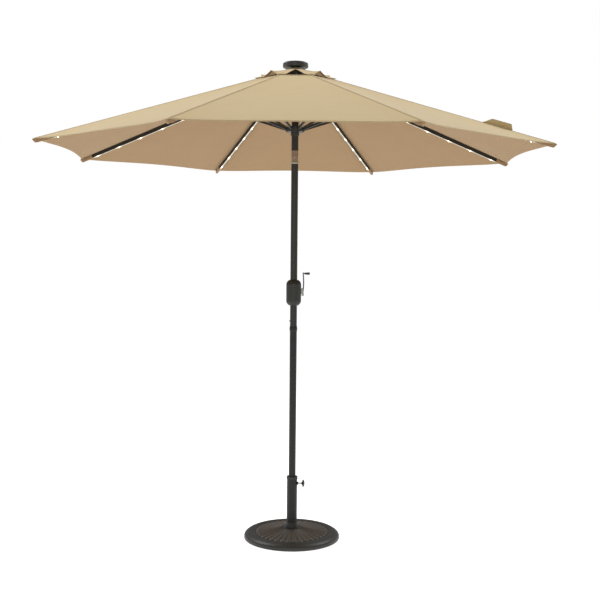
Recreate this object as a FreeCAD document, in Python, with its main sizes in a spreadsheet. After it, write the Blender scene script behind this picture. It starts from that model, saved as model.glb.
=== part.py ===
import FreeCAD, Part
import Sketcher
import os
import re
from FreeCAD import Placement, Rotation, Vector

# A patio umbrella with its base, in millimetres. +Z is up, +X is the side of the crank and the clamp
# knob, and the origin is the centre of the base's underside. Eight ribs and eight struts fold with
# the runner, and the head tilts at a knuckle half a metre below the hub.

document = FreeCAD.newDocument("patio_umbrella")
sheet = document.addObject("Spreadsheet::Sheet", "Sizes")

SIZES = [
    ("base_radius", 258, "cast base, outer radius"),
    ("base_wall", 22, "height of the base's upright edge"),
    ("base_bevel", 4, "bevel at the foot of the edge"),
    ("rim_crest_in", 30, "highest circle of the smooth rim, in from the edge"),
    ("rim_crest", 37, "height of the rim's crest"),
    ("rim_round", 18, "rounding of the rim's crest"),
    ("rim_inner_in", 56, "where the rim meets the rayed dome, in from the edge"),
    ("rim_inner", 34, "height of the dome's foot"),
    ("dome_radius", 46, "flat collar round the tube"),
    ("dome_top", 57, "height of the dome at the tube"),
    ("ray_count", 36, "radial rays on the dome"),
    ("ray_width", 5, "width of one ray"),
    ("ray_height", 2.5, "how far a ray stands up"),
    ("tube_radius", 28, "base tube, outer radius"),
    ("tube_wall", 2, "base tube wall"),
    ("tube_seat", 43, "height of the tube's lower end"),
    ("tube_top", 320, "height of the tube's upper end"),
    ("plug_thickness", 8, "disc welded in the tube's lower end"),
    ("bolt_radius", 5, "bolt that holds the tube"),
    ("bolt_head", 8.5, "corner radius of the bolt's head"),
    ("bolt_head_height", 7, "height of the bolt's head"),
    ("pocket_radius", 16, "pocket for the bolt's head"),
    ("pocket_depth", 18, "depth of that pocket"),
    ("bolt_past", 2, "how far the bolt goes past the disc"),
    ("bolt_clear", 1, "clearance of the lower bush round the bolt"),
    ("collar_step", 2, "how far the collar stands out from the tube"),
    ("collar_height", 15, "height of the collar"),
    ("collar_lip", 2, "plain edge above and below the flutes"),
    ("flute_count", 24, "flutes round the collar"),
    ("flute_radius", 1.2, "one flute"),
    ("bush_length", 58, "part of a bush inside the tube"),
    ("bush_floor", 6, "floor that the pole stands on"),
    ("screw_height", 296, "height of the clamp screw"),
    ("screw_radius", 4, "clamp screw"),
    ("screw_gap", 0.8, "clamp screw backed off from the pole"),
    ("screw_window", 0.5, "clearance of the bush round the clamp screw"),
    ("boss_radius", 9, "boss for the clamp screw"),
    ("boss_reach", 5, "how far the boss stands off the tube"),
    ("knob_start", 51, "inner face of the knob, from the axis"),
    ("knob_radius", 21.5, "clamp knob"),
    ("knob_width", 17, "thickness of the knob"),
    ("knob_face", 9, "foot and outer face of the knob"),
    ("knob_foot", 3, "length of the knob's foot"),
    ("knob_band", 2, "half of the band round the knob"),
    ("knob_round", 1.5, "rounding of that band"),
    ("knob_cover", 5, "thickness of the knob over the screw's end"),
    ("finger_count", 6, "finger hollows of the knob"),
    ("finger_radius", 7, "one finger hollow"),
    ("finger_offset", 4.5, "middle of a hollow, outside the knob's rim"),
    ("lower_radius", 19, "lower pole, outer radius"),
    ("lower_wall", 1.5, "lower pole wall"),
    ("bead_radius", 21, "swaged bead at the pole's joint"),
    ("bead_bottom", 1119, "lower end of the bead"),
    ("bead_top", 1151, "upper end of the bead"),
    ("bead_foot", 12, "length of the bead's lower taper"),
    ("bead_head", 9, "length of the bead's upper taper, and its rounding"),
    ("neck_length", 85, "neck inside the upper pole"),
    ("upper_radius", 18.5, "upper pole, outer radius"),
    ("upper_wall", 1.3, "upper pole wall"),
    ("snap_height", 1178, "height of the snap button"),
    ("snap_radius", 4, "snap button"),
    ("snap_reach", 5, "how far the button stands out"),
    ("snap_play", 1.5, "room behind the button's flange"),
    ("snap_flange", 2, "how far the flange stands out from the button"),
    ("snap_flange_width", 1.2, "thickness of the flange"),
    ("leaf_half", 3.5, "half of the leaf's width"),
    ("leaf_thickness", 0.8, "thickness of the leaf"),
    ("leaf_length", 48, "length of the leaf"),
    ("leaf_foot", 6, "length of the leaf's foot"),
    ("housing_bottom", 1262, "lower end of the crank housing"),
    ("housing_length", 138, "length of the crank housing"),
    ("housing_radius", 40.5, "crank housing, outer radius"),
    ("housing_wall", 2.5, "wall of the housing"),
    ("housing_neck", 24, "radius of the housing's ends"),
    ("shoulder", 27, "length of each tapering end"),
    ("shoulder_round", 22, "rounding of the shoulders"),
    ("post_offset", 28, "screw posts, from the axis"),
    ("post_radius", 4.5, "screw posts"),
    ("post_spread", 32, "screw posts, above and below the shaft"),
    ("shell_screw_radius", 1.6, "screws of the housing"),
    ("shell_screw_length", 31, "length of those screws"),
    ("shell_screw_start", 14, "tip of those screws, in front of the middle plane"),
    ("shell_head_radius", 3, "head of those screws"),
    ("shell_head_width", 2.2, "thickness of the head"),
    ("shaft_gap", 1, "clearance of the housing round the shaft"),
    ("shaft_height", 1331, "height of the crank shaft"),
    ("shaft_radius", 5, "crank shaft"),
    ("bush_radius", 8, "bushes of the crank shaft"),
    ("bush_width", 4.6, "length of such a bush"),
    ("bush_inside", 4.5, "how far it reaches in from the pole's face"),
    ("bush_flange", 2.5, "how far its flange stands out"),
    ("bush_flange_width", 2.2, "thickness of its flange"),
    ("shaft_past", 4, "how far the shaft goes past the pole"),
    ("drum_radius", 10.7, "spool, where the cord winds"),
    ("flange_radius", 14, "flanges of the spool"),
    ("drum_half", 6, "half of the drum's width"),
    ("flange_width", 2, "thickness of a flange"),
    ("arm_start", 43, "inner face of the crank's hub"),
    ("arm_hub_radius", 9, "crank's hub"),
    ("arm_hub_width", 6, "thickness of the crank's hub"),
    ("arm_tongue", 24, "length of the hub's tongue"),
    ("arm_foot", 8, "lower end of the arm, above the shaft"),
    ("arm_width", 12, "width of the crank arm"),
    ("arm_thickness", 4, "thickness of the crank arm"),
    ("arm_length", 103, "shaft to grip"),
    ("grip_start", 57, "inner end of the grip"),
    ("grip_length", 29, "length of the grip"),
    ("grip_radius", 6.5, "grip"),
    ("grip_cover", 2.5, "thickness of the grip's closed end"),
    ("grip_round", 2, "rounding of that end"),
    ("grip_taper", 1.5, "how much slimmer the grip is at the arm"),
    ("stud_radius", 3, "stud that the grip turns on"),
    ("tilt_bottom", 2018, "lower end of the tilt joint"),
    ("tilt_pivot", 2050, "height of the tilt pins"),
    ("tilt_top", 2087, "upper end of the tilt joint"),
    ("tongue_half", 8, "half of the tongue's width"),
    ("cord_slot_half", 4, "half of the slot for the cord"),
    ("cord_way", 5, "radius of the bore for the cord"),
    ("swing_gap", 0.5, "clearance of the tongue's round end"),
    ("fork_gap", 1, "gap under the tongue in the fork"),
    ("tilt_pin_radius", 4, "tilt pins"),
    ("plug_length", 32, "plugs inside the pole"),
    ("pole_top", 2512, "upper end of the top pole"),
    ("hub_height", 2495, "height of the rib pins"),
    ("pivot_radius", 42, "rib pins and strut ends, from the axis"),
    ("crown_radius", 50, "hub and runner, outer radius"),
    ("hub_below", 17, "hub below the rib pins"),
    ("hub_above", 6, "hub above the rib pins"),
    ("slot_half", 4.5, "half of the slots for ribs and struts"),
    ("slot_start", 29, "inner end of the slots"),
    ("spigot_radius", 28, "spigot that carries the vent cap"),
    ("spigot_foot", 4, "bevel at the foot of the spigot"),
    ("pin_radius", 2, "pins of ribs and struts"),
    ("pin_half", 7.9, "half of a rib pin's length"),
    ("rib_slope", 18, "slope of an open rib, in degrees"),
    ("rib_length", 1370, "pin to tip"),
    ("rib_width", 12, "width of a rib"),
    ("rib_height", 20, "height of a rib"),
    ("rib_wall", 1.2, "wall of a rib"),
    ("rib_start", 20, "where the channel begins"),
    ("rib_plug", 30, "how far the tab reaches into the channel"),
    ("rib_cap", 4, "closed end at the rib's tip"),
    ("tab_half", 4, "half of the width of tabs"),
    ("tab_radius", 7, "end of a rib's tab"),
    ("ear_half", 9, "half of an ear's length"),
    ("ear_below", 5, "how far an ear reaches past the rivet"),
    ("rivet_head", 1, "how far the rivet stands out"),
    ("strut_at", 450, "strut pin along the rib"),
    ("strut_drop", 17, "strut pin below the rib's middle"),
    ("runner_height", 2198, "height of the strut ends"),
    ("strut_width", 8, "width of a strut"),
    ("strut_height", 12, "height of a strut"),
    ("strut_wall", 1.2, "wall of a strut"),
    ("strut_solid", 14, "solid part at each end of a strut"),
    ("runner_half", 11, "half of the crown's height"),
    ("runner_wall", 4, "outside of the runner's collar, from the pole's face"),
    ("runner_collar_height", 21, "height of the runner's collar"),
    ("runner_gap", 0.7, "clearance of the runner on the pole"),
    ("runner_round", 1.5, "rounding of the collar's foot"),
    ("strip_width", 8, "LED strip"),
    ("strip_height", 4, "LED strip"),
    ("strip_start", 80, "LED strip along the rib"),
    ("strip_short", 40, "end of the LED strip, from the rib's tip"),
    ("strip_below", 0.8, "how far the strip stands out below the rib"),
    ("strip_gap", 20, "gap of the strip, each side of the strut"),
    ("strip_web_half", 1, "half of the web that holds the strip"),
    ("canopy_gap", 1.2, "canopy above the ribs"),
    ("cloth", 1.2, "thickness of the soft solids"),
    ("canopy_hole", 175, "opening under the vent cap"),
    ("canopy_past", 4, "canopy's corner, past the rib's tip"),
    ("eave_inset", 44, "how far an eave curves in"),
    ("seam_gap", 0.2, "half of the gap at a seam"),
    ("vent_radius", 230, "corners of the vent cap"),
    ("vent_gap", 6, "corners of the vent cap above the canopy"),
    ("vent_top", 2521, "inner edge of the vent cap"),
    ("vent_hole", 24, "inner edge of the vent cap"),
    ("vent_inset", 46, "how far a vent edge curves in"),
    ("strap_start", 1001, "closure strap along the rib"),
    ("strap_length", 155, "length of the closure strap"),
    ("strap_height", 30, "height of the closure strap"),
    ("strap_gap", 0.3, "clearance of the strap above the canopy"),
    ("cap_radius", 67, "solar cap"),
    ("cap_bottom", 2526, "lower face of the solar cap"),
    ("cap_split", 2529.5, "joint between the cap's halves"),
    ("cap_top", 2552, "top of the umbrella"),
    ("cap_wall", 2.4, "wall of the solar cap"),
    ("cap_boss", 21.5, "boss that stands on the hub's spigot"),
    ("cap_bore", 6, "way for the wires into the pole"),
    ("cap_plug", 9, "length of the cap's plug in the pole"),
    ("cap_bevel", 1, "bevel at the cap's foot"),
    ("cap_round", 5, "rounding of the cap's shoulder"),
    ("cap_slope", 9, "width of the sloping band round the panel"),
    ("cap_inner_slope", 11, "width of that band on the inside"),
    ("panel_radius", 45, "solar panel"),
    ("panel_thickness", 2.3, "seat of the solar panel"),
    ("panel_sunk", 0.3, "how far the panel lies below the rim"),
    ("button_radius", 4.8, "power button"),
    ("button_length", 8.4, "length of the power button"),
    ("button_inside", 4, "how far it starts inside the wall"),
    ("button_flange", 1.4, "how far its flange stands out"),
    ("button_flange_width", 2, "thickness of the flange"),
    ("button_height", 2535.5, "height of the power button"),
    ("cord_radius", 1.25, "lift cord"),
    ("pulley_in", 6.5, "pulley's middle, in from the pole's face"),
    ("pulley_height", 2489, "height of the pulley"),
    ("pulley_radius", 10, "rim of the pulley"),
    ("pulley_groove", 8.3, "foot of the pulley's groove"),
    ("pulley_half", 2, "half of the pulley's width"),
    ("axle_half", 12, "half of the pulley's axle"),
    ("pulley_side", 1, "gap in the pole, each side of the pulley"),
    ("window_side", 1.5, "gap in the hub, each side of the pulley"),
    ("window_gap", 4, "gap in the hub, outside the pulley"),
    ("pulley_below", 6, "gap in the pole, below the pulley"),
    ("cord_joint", 1.2, "half of the gap between the cord's stretches"),
    ("cord_bend", 60, "where the cord meets the axis, below the tilt pins"),
    ("slip", 0.05, "clearance of a part that turns or slides"),
    ("fit", 0.02, "clearance of a part that is pressed in"),
    ("drill", 60, "length of the drills across the umbrella's axis"),
    ("past", 5, "how far a tool goes past what it cuts"),
]

for row, (alias, value, note) in enumerate(SIZES, start=1):
    sheet.set(f"A{row}", note)
    sheet.set(f"B{row}", str(value))
    sheet.setAlias(f"B{row}", alias)
document.recompute()

ALIASES = re.compile(r"\b(" + "|".join(alias for alias, value, note in SIZES) + r")\b")
RIM_CREST = "(base_radius - rim_crest_in)"
RIM_INNER = "(base_radius - rim_inner_in)"
COLLAR = "(tube_radius + collar_step)"
PULLEY = "(upper_radius - pulley_in)"
RIBS = 8
FIRST_RIB = 22.5
RIB_STEP = 360 / RIBS
SAME = Vector(0, 0, 0)
UP = Vector(0, 0, 1)
ALONG_X = Rotation(Vector(0, 1, 0), 90)
ALONG_Y = Rotation(Vector(1, 0, 0), -90)
NODES = []


def formula(text):
    """The same text with every size read from the sheet."""
    return ALIASES.sub(r"Sizes.\1", str(text))


def size(text):
    """The number that a formula gives."""
    return float(sheet.evalExpression(formula(text)))


def bind(thing, **formulas):
    """Set properties of an object from formulas on the sheet."""
    for name, text in formulas.items():
        thing.setExpression(name, formula(text))


def piece(label, thing):
    """Name a finished sub-part, which is written to a file of that name."""
    thing.Label = label
    NODES.append(thing)
    return thing


def turned_round(azimuth):
    """A turn about the umbrella's axis."""
    return Placement(SAME, Rotation(UP, azimuth))


def box(x, y, z, azimuth=0):
    """A block between pairs of formulas, turned about the umbrella's axis."""
    thing = document.addObject("Part::Box", "block")
    bind(thing, Length=f"({x[1]}) - ({x[0]})", Width=f"({y[1]}) - ({y[0]})")
    bind(thing, Height=f"({z[1]}) - ({z[0]})")
    corner = Vector(size(x[0]), size(y[0]), size(z[0]))
    thing.Placement = turned_round(azimuth) * Placement(corner, Rotation())
    return thing


def rod(radius, length, start, direction=Rotation(), azimuth=0):
    """A cylinder from a start point, along Z unless it is given another direction."""
    thing = document.addObject("Part::Cylinder", "rod")
    bind(thing, Radius=radius, Height=length)
    point = Vector(*[size(text) for text in start])
    thing.Placement = turned_round(azimuth) * Placement(point, direction)
    return thing


def group(things):
    """Several separate solids in one object."""
    thing = document.addObject("Part::Compound", "group")
    thing.Links = things
    return thing


def fuse(*things):
    thing = document.addObject("Part::MultiFuse", "joined")
    thing.Shapes = list(things)
    thing.Refine = True
    return thing


def cut(base, *tools):
    thing = document.addObject("Part::Cut", "trimmed")
    thing.Base = base
    thing.Tool = tools[0] if len(tools) == 1 else fuse(*tools)
    return thing


def common(base, tool):
    thing = document.addObject("Part::Common", "shared")
    thing.Base = base
    thing.Tool = tool
    return thing


def outline(body, plane, points):
    """A closed outline on one of the body's own planes, each point held by two formulas."""
    drawing = body.newObject("Sketcher::SketchObject", "outline")
    support = [face for face in body.Origin.OriginFeatures if face.Role == plane][0]
    drawing.AttachmentSupport = [(support, "")]
    drawing.MapMode = "FlatFace"
    places = [Vector(size(x), size(y), 0) for x, y in points]
    count = len(points)
    for index in range(count):
        drawing.addGeometry(Part.LineSegment(places[index], places[(index + 1) % count]), False)
    for index in range(count):
        drawing.addConstraint(Sketcher.Constraint("Coincident", index, 2, (index + 1) % count, 1))
    for index, (x, y) in enumerate(points):
        for kind, text in (("DistanceX", x), ("DistanceY", y)):
            held = Sketcher.Constraint(kind, -1, 1, index, 1, size(text))
            number = drawing.addConstraint(held)
            drawing.setExpression(f"Constraints[{number}]", formula(text))
    return drawing


def turned(points, rounds=(), plane="XZ_Plane"):
    """A body of revolution about Z. Each round is a circle's radius and height and its fillet."""
    body = document.addObject("PartDesign::Body", "turning")
    drawing = outline(body, plane, points)
    turn = body.newObject("PartDesign::Revolution", "turn")
    turn.Profile = drawing
    turn.ReferenceAxis = (drawing, ["V_Axis"])
    turn.Angle = 360
    document.recompute()
    for radius, height, fillet in rounds:
        smooth(body, radius, height, fillet)
    return body


def smooth(body, radius, height, fillet):
    """Round the edge of a turning that lies on one circle about Z."""
    before = body.Tip
    found = []
    for number, edge in enumerate(before.Shape.Edges, start=1):
        on_circle = hasattr(edge.Curve, "Radius") and abs(edge.Curve.Radius - size(radius)) < 0.01
        if on_circle and abs(edge.BoundBox.Center.z - size(height)) < 0.01:
            found.append(f"Edge{number}")
    rounded = body.newObject("PartDesign::Fillet", "round")
    rounded.Base = (before, found)
    bind(rounded, Radius=fillet)
    document.recompute()


def pipe(points, radius):
    """A cord with its middle along a list of edges."""
    route = Part.Wire(points)
    first = route.Edges[0]
    start = first.valueAt(first.FirstParameter)
    heading = first.tangentAt(first.FirstParameter)
    section = Part.Wire([Part.makeCircle(radius, start, heading)])
    shape = route.makePipeShell([section], True, True)
    print(f"cord {route.Length:.0f} mm, volume over section times length",
          round(shape.Volume / (route.Length * 3.14159265 * radius ** 2), 4))
    thing = document.addObject("Part::Feature", "cord")
    thing.Shape = shape
    return thing


# ---------------------------------------------------------------- base


def make_base_plate():
    """Cast in one: a smooth rim, a low dome with rays, and a pocket below for the bolt."""
    seat = "tube_radius + fit"
    body = turned([
        ("pocket_radius", "0"), ("base_radius - base_bevel", "0"), ("base_radius", "base_bevel"),
        ("base_radius", "base_wall"), (RIM_CREST, "rim_crest"),
        (RIM_INNER, "rim_inner"), ("dome_radius", "dome_top"), (seat, "dome_top"),
        (seat, "tube_seat"), ("bolt_radius + fit", "tube_seat"),
        ("bolt_radius + fit", "pocket_depth"), ("pocket_radius", "pocket_depth"),
    ], rounds=[("base_radius", "base_wall", "base_wall / 2"), (RIM_CREST, "rim_crest", "rim_round")])
    ray_outline = outline(body, "XZ_Plane", [
        ("dome_radius", "dome_top - ray_height"), (RIM_INNER, "rim_inner - ray_height"),
        (RIM_INNER, "rim_inner + ray_height"), ("dome_radius", "dome_top + ray_height"),
    ])
    ray = body.newObject("PartDesign::Pad", "ray")
    ray.Profile = ray_outline
    ray.Midplane = True
    bind(ray, Length="ray_width")
    document.recompute()
    rays = body.newObject("PartDesign::PolarPattern", "rays")
    rays.Originals = [ray]
    rays.Axis = (ray_outline, ["V_Axis"])
    rays.Angle = 360
    bind(rays, Occurrences="ray_count")
    body.Tip = rays
    return piece("base_plate", body)


def make_base_bolt():
    """A hexagon bolt from below, screwed into the plug of the tube."""
    head = document.addObject("Part::Prism", "head")
    head.Polygon = 6
    bind(head, Circumradius="bolt_head", Height="bolt_head_height")
    head.Placement.Base = Vector(0, 0, size("pocket_depth - bolt_head_height"))
    length = "tube_seat + plug_thickness + bolt_past - pocket_depth"
    return piece("base_bolt", fuse(head, rod("bolt_radius", length, (0, 0, "pocket_depth"))))


def make_base_tube():
    """The tube, the disc welded in its foot and the boss welded on its side."""
    inside = "tube_radius - tube_wall"
    bolt_hole = "bolt_radius + fit"
    tube = turned([
        (bolt_hole, "tube_seat"), ("tube_radius", "tube_seat"), ("tube_radius", "tube_top"),
        (inside, "tube_top"), (inside, "tube_seat + plug_thickness"),
        (bolt_hole, "tube_seat + plug_thickness"),
    ])
    boss = rod("boss_radius", "tube_wall + boss_reach", (inside, 0, "screw_height"), ALONG_X)
    hole = rod("screw_radius + slip", "tube_radius", (f"{inside} - past", 0, "screw_height"), ALONG_X)
    return piece("base_tube", cut(fuse(tube, boss), hole))


def make_pole_bushes():
    """Two plastic bushes that centre the pole. The upper one ends in the fluted collar."""
    outer = "tube_radius - tube_wall - fit"
    bore = "lower_radius + slip"
    foot = "tube_seat + plug_thickness"
    upper = turned([
        (bore, "tube_top - bush_length"), (outer, "tube_top - bush_length"), (outer, "tube_top"),
        (COLLAR, "tube_top"), (COLLAR, "tube_top + collar_height"),
        (bore, "tube_top + collar_height"),
    ])
    flutes = []
    for number in range(int(size("flute_count"))):
        azimuth = 360 / size("flute_count") * number
        flutes.append(rod("flute_radius", "collar_height - 2 * collar_lip",
                          (COLLAR, 0, "tube_top + collar_lip"), azimuth=azimuth))
    hole = rod("screw_radius + screw_window", "tube_radius", ("lower_radius - past", 0, "screw_height"),
               ALONG_X)
    lower = turned([
        ("bolt_radius + bolt_clear", foot), (outer, foot), (outer, f"{foot} + bush_length"),
        (bore, f"{foot} + bush_length"), (bore, f"{foot} + bush_floor"),
        ("bolt_radius + bolt_clear", f"{foot} + bush_floor"),
    ])
    return piece("pole_bushes", group([cut(upper, hole, *flutes), lower]))


def make_knob():
    """The clamp screw presses on the pole through the boss. Its knob has six finger hollows."""
    depth = "knob_width - knob_cover"
    start = "lower_radius + screw_gap"
    length = f"knob_start + {depth} - ({start})"
    piece("knob_screw", rod("screw_radius", length, (start, 0, "screw_height"), ALONG_X))
    bore = "screw_radius + fit"
    band_low = "knob_width / 2 - knob_band"
    band_high = "knob_width / 2 + knob_band"
    head = turned([
        (bore, "0"), ("knob_face", "0"), ("knob_face", "knob_foot"), ("knob_radius", band_low),
        ("knob_radius", band_high), ("knob_face", "knob_width"), ("0", "knob_width"),
        ("0", depth), (bore, depth),
    ], rounds=[("knob_radius", band_low, "knob_round"), ("knob_radius", band_high, "knob_round")])
    hollows = []
    for number in range(int(size("finger_count"))):
        azimuth = 360 / size("finger_count") * number
        hollows.append(rod("finger_radius", "knob_width + 2 * past",
                           ("knob_radius + finger_offset", 0, "-past"), azimuth=azimuth))
    knob = cut(head, *hollows)
    knob.Placement = Placement(Vector(size("knob_start"), 0, size("screw_height")), ALONG_X)
    return piece("knob_head", knob)


# ---------------------------------------------------------------- pole

NECK = "(upper_radius - upper_wall - slip)"
POLE_FOOT = "(tube_seat + plug_thickness + bush_floor + slip)"


def snap_hole():
    start = ("-upper_radius - past", 0, "snap_height")
    return rod("snap_radius + slip", "upper_wall + lower_wall + 2 * past", start, ALONG_X)


def make_lower_pole():
    """A swaged bead stops the upper pole, and the neck above it goes inside."""
    inside = "lower_radius - lower_wall"
    low = "bead_bottom + bead_foot"
    high = "bead_top - bead_head"
    tube = turned([
        (inside, POLE_FOOT), ("lower_radius", POLE_FOOT), ("lower_radius", "bead_bottom"),
        ("bead_radius", low), ("bead_radius", high),
        ("upper_radius", "bead_top"), (NECK, "bead_top"), (NECK, "bead_top + neck_length"),
        (f"{NECK} - upper_wall", "bead_top + neck_length"), (f"{NECK} - upper_wall", "bead_top"),
        (inside, "bead_bottom"),
    ], rounds=[("bead_radius", low, "bead_head"), ("bead_radius", high, "bead_head")])
    return piece("lower_pole", cut(tube, snap_hole()))


def make_mid_pole():
    """The upper pole, from the bead to the tilt joint, with holes for the button and the shaft."""
    inside = "upper_radius - upper_wall"
    tube = turned([
        (inside, "bead_top"), ("upper_radius", "bead_top"), ("upper_radius", "tilt_bottom"),
        (inside, "tilt_bottom"),
    ])
    start = ("-upper_radius - past", 0, "shaft_height")
    shaft_hole = rod("bush_radius + fit", "2 * (upper_radius + past)", start, ALONG_X)
    return piece("mid_pole", cut(tube, snap_hole(), shaft_hole))


def make_snap_button():
    """The button, its flange and the leaf that presses it out, in one stamping."""
    flange = f"-({NECK} - upper_wall) + snap_play"
    width = ("-leaf_half", "leaf_half")
    top = "snap_height + leaf_length"
    pin = rod("snap_radius", f"upper_radius + snap_reach + ({flange})",
              ("-upper_radius - snap_reach", 0, "snap_height"), ALONG_X)
    plate = rod("snap_radius + snap_flange", "snap_flange_width", (flange, 0, "snap_height"), ALONG_X)
    leaf = box((flange, f"{flange} + leaf_thickness"), width, ("snap_height", top))
    foot = box((f"{flange} - leaf_thickness", flange), width, (f"{top} - leaf_foot", top))
    return piece("snap_button", fuse(pin, plate, leaf, foot))


# ---------------------------------------------------------------- crank

SHAFT = "shaft_height"
HOUSING_TOP = "(housing_bottom + housing_length)"


def housing_body(inset):
    """A capsule of revolution, smaller all round by the inset."""
    wide = f"housing_radius - {inset}"
    neck = f"housing_neck - {inset} / 2"
    low = f"housing_bottom + {inset}"
    high = f"{HOUSING_TOP} - {inset}"
    return turned([
        ("upper_radius + slip", low), (neck, low), (wide, f"{low} + shoulder"),
        (wide, f"{high} - shoulder"), (neck, high), ("upper_radius + slip", high),
    ], rounds=[(wide, f"{low} + shoulder", "shoulder_round"),
               (wide, f"{high} - shoulder", "shoulder_round")], plane="YZ_Plane")


def make_housing():
    """Two shells that meet at the middle plane, held by four screws in posts."""
    whole = housing_body("0")
    hollow = cut(whole, housing_body("housing_wall"))
    posts = []
    screws = []
    holes = []
    for side in ("-1", "1"):
        for level in ("-1", "1"):
            x = f"{side} * post_offset"
            z = f"{SHAFT} + {level} * post_spread"
            post = rod("post_radius", "2 * housing_radius", (x, "-housing_radius", z), ALONG_Y)
            posts.append(common(post, whole))
            tip = (x, "-shell_screw_start", z)
            seat = (x, "shell_screw_length - shell_screw_start", z)
            holes.append(rod("shell_screw_radius + fit", "drill", (x, "-shell_screw_start - fit", z),
                             ALONG_Y))
            shank = rod("shell_screw_radius", "shell_screw_length", tip, ALONG_Y)
            screws.append(fuse(shank, rod("shell_head_radius", "shell_head_width", seat, ALONG_Y)))
            holes.append(rod("shell_head_radius + fit", "drill", seat, ALONG_Y))
    solid = fuse(hollow, *posts)
    shaft_hole = rod("shaft_radius + shaft_gap", "drill", (0, 0, SHAFT), ALONG_X)
    drilled = cut(solid, shaft_hole, *holes)
    wide = "housing_radius + past"
    tall = ("housing_bottom - past", f"{HOUSING_TOP} + past")
    back_half = box((f"-({wide})", wide), ("0", wide), tall)
    front_half = box((f"-({wide})", wide), (f"-({wide})", "0"), tall)
    piece("housing_front", cut(drilled, back_half))
    piece("housing_back", cut(drilled, front_half))
    piece("housing_screws", group(screws))


def make_shaft_bushes():
    """A flanged bush in each wall of the pole."""
    rings = []
    for flip in (0, 180):
        inner = ("upper_radius - bush_inside", 0, SHAFT)
        face = ("upper_radius - bush_inside + bush_width", 0, SHAFT)
        bush = fuse(rod("bush_radius", "bush_width", inner, ALONG_X, flip),
                    rod("bush_radius + bush_flange", "bush_flange_width", face, ALONG_X, flip))
        hole = rod("shaft_radius + slip", "bush_width + bush_flange_width + 2 * past",
                   ("upper_radius - bush_inside - past", 0, SHAFT), ALONG_X, flip)
        rings.append(cut(bush, hole))
    return piece("shaft_bushes", group(rings))


def make_spool():
    bore = "shaft_radius + fit"
    half = "drum_half + flange_width"
    spool = turned([
        (bore, f"-({half})"), ("flange_radius", f"-({half})"), ("flange_radius", "-drum_half"),
        ("drum_radius", "-drum_half"), ("drum_radius", "drum_half"), ("flange_radius", "drum_half"),
        ("flange_radius", half), (bore, half),
    ])
    spool.Placement = Placement(Vector(0, 0, size(SHAFT)), ALONG_X)
    return piece("crank_spool", spool)


def make_crank():
    """Shaft, hub and arm turn together, and the grip turns on the arm's stud."""
    left_end = "-upper_radius - shaft_past"
    hub_face = "arm_start + arm_hub_width"
    piece("crank_shaft", rod("shaft_radius", f"{hub_face} - ({left_end})", (left_end, 0, SHAFT), ALONG_X))
    disc = rod("arm_hub_radius", "arm_hub_width", ("arm_start", 0, SHAFT), ALONG_X)
    tongue = box(("arm_start", hub_face), ("-arm_width / 2", "arm_width / 2"),
                 (SHAFT, f"{SHAFT} + arm_tongue"))
    hole = rod("shaft_radius + fit", "arm_hub_width + 2 * past", ("arm_start - past", 0, SHAFT), ALONG_X)
    piece("crank_hub", cut(fuse(disc, tongue), hole))
    grip_height = f"{SHAFT} + arm_length"
    bar = box((hub_face, f"{hub_face} + arm_thickness"), ("-arm_width / 2", "arm_width / 2"),
              (f"{SHAFT} + arm_foot", grip_height))
    end = rod("arm_width / 2", "arm_thickness", (hub_face, 0, grip_height), ALONG_X)
    stud_length = f"grip_start + grip_length - grip_cover - swing_gap - ({hub_face})"
    stud = rod("stud_radius", stud_length, (hub_face, 0, grip_height), ALONG_X)
    piece("crank_arm", fuse(bar, end, stud))
    bore = "stud_radius + slip"
    depth = "grip_length - grip_cover"
    grip = turned([
        (bore, "0"), ("grip_radius - grip_taper", "0"), ("grip_radius", "grip_length * 0.6"),
        ("grip_radius", "grip_length"), ("0", "grip_length"), ("0", depth), (bore, depth),
    ], rounds=[("grip_radius", "grip_length", "grip_round")])
    grip.Placement = Placement(Vector(size("grip_start"), 0, size(grip_height)), ALONG_X)
    piece("crank_grip", grip)


# ---------------------------------------------------------------- tilt joint

PLUG = "(upper_radius - upper_wall - fit)"
REACH = "(tilt_pivot - tilt_bottom)"
SWING = "(upper_radius - swing_gap)"
ACROSS = (0, "-drill / 2", "tilt_pivot")


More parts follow.
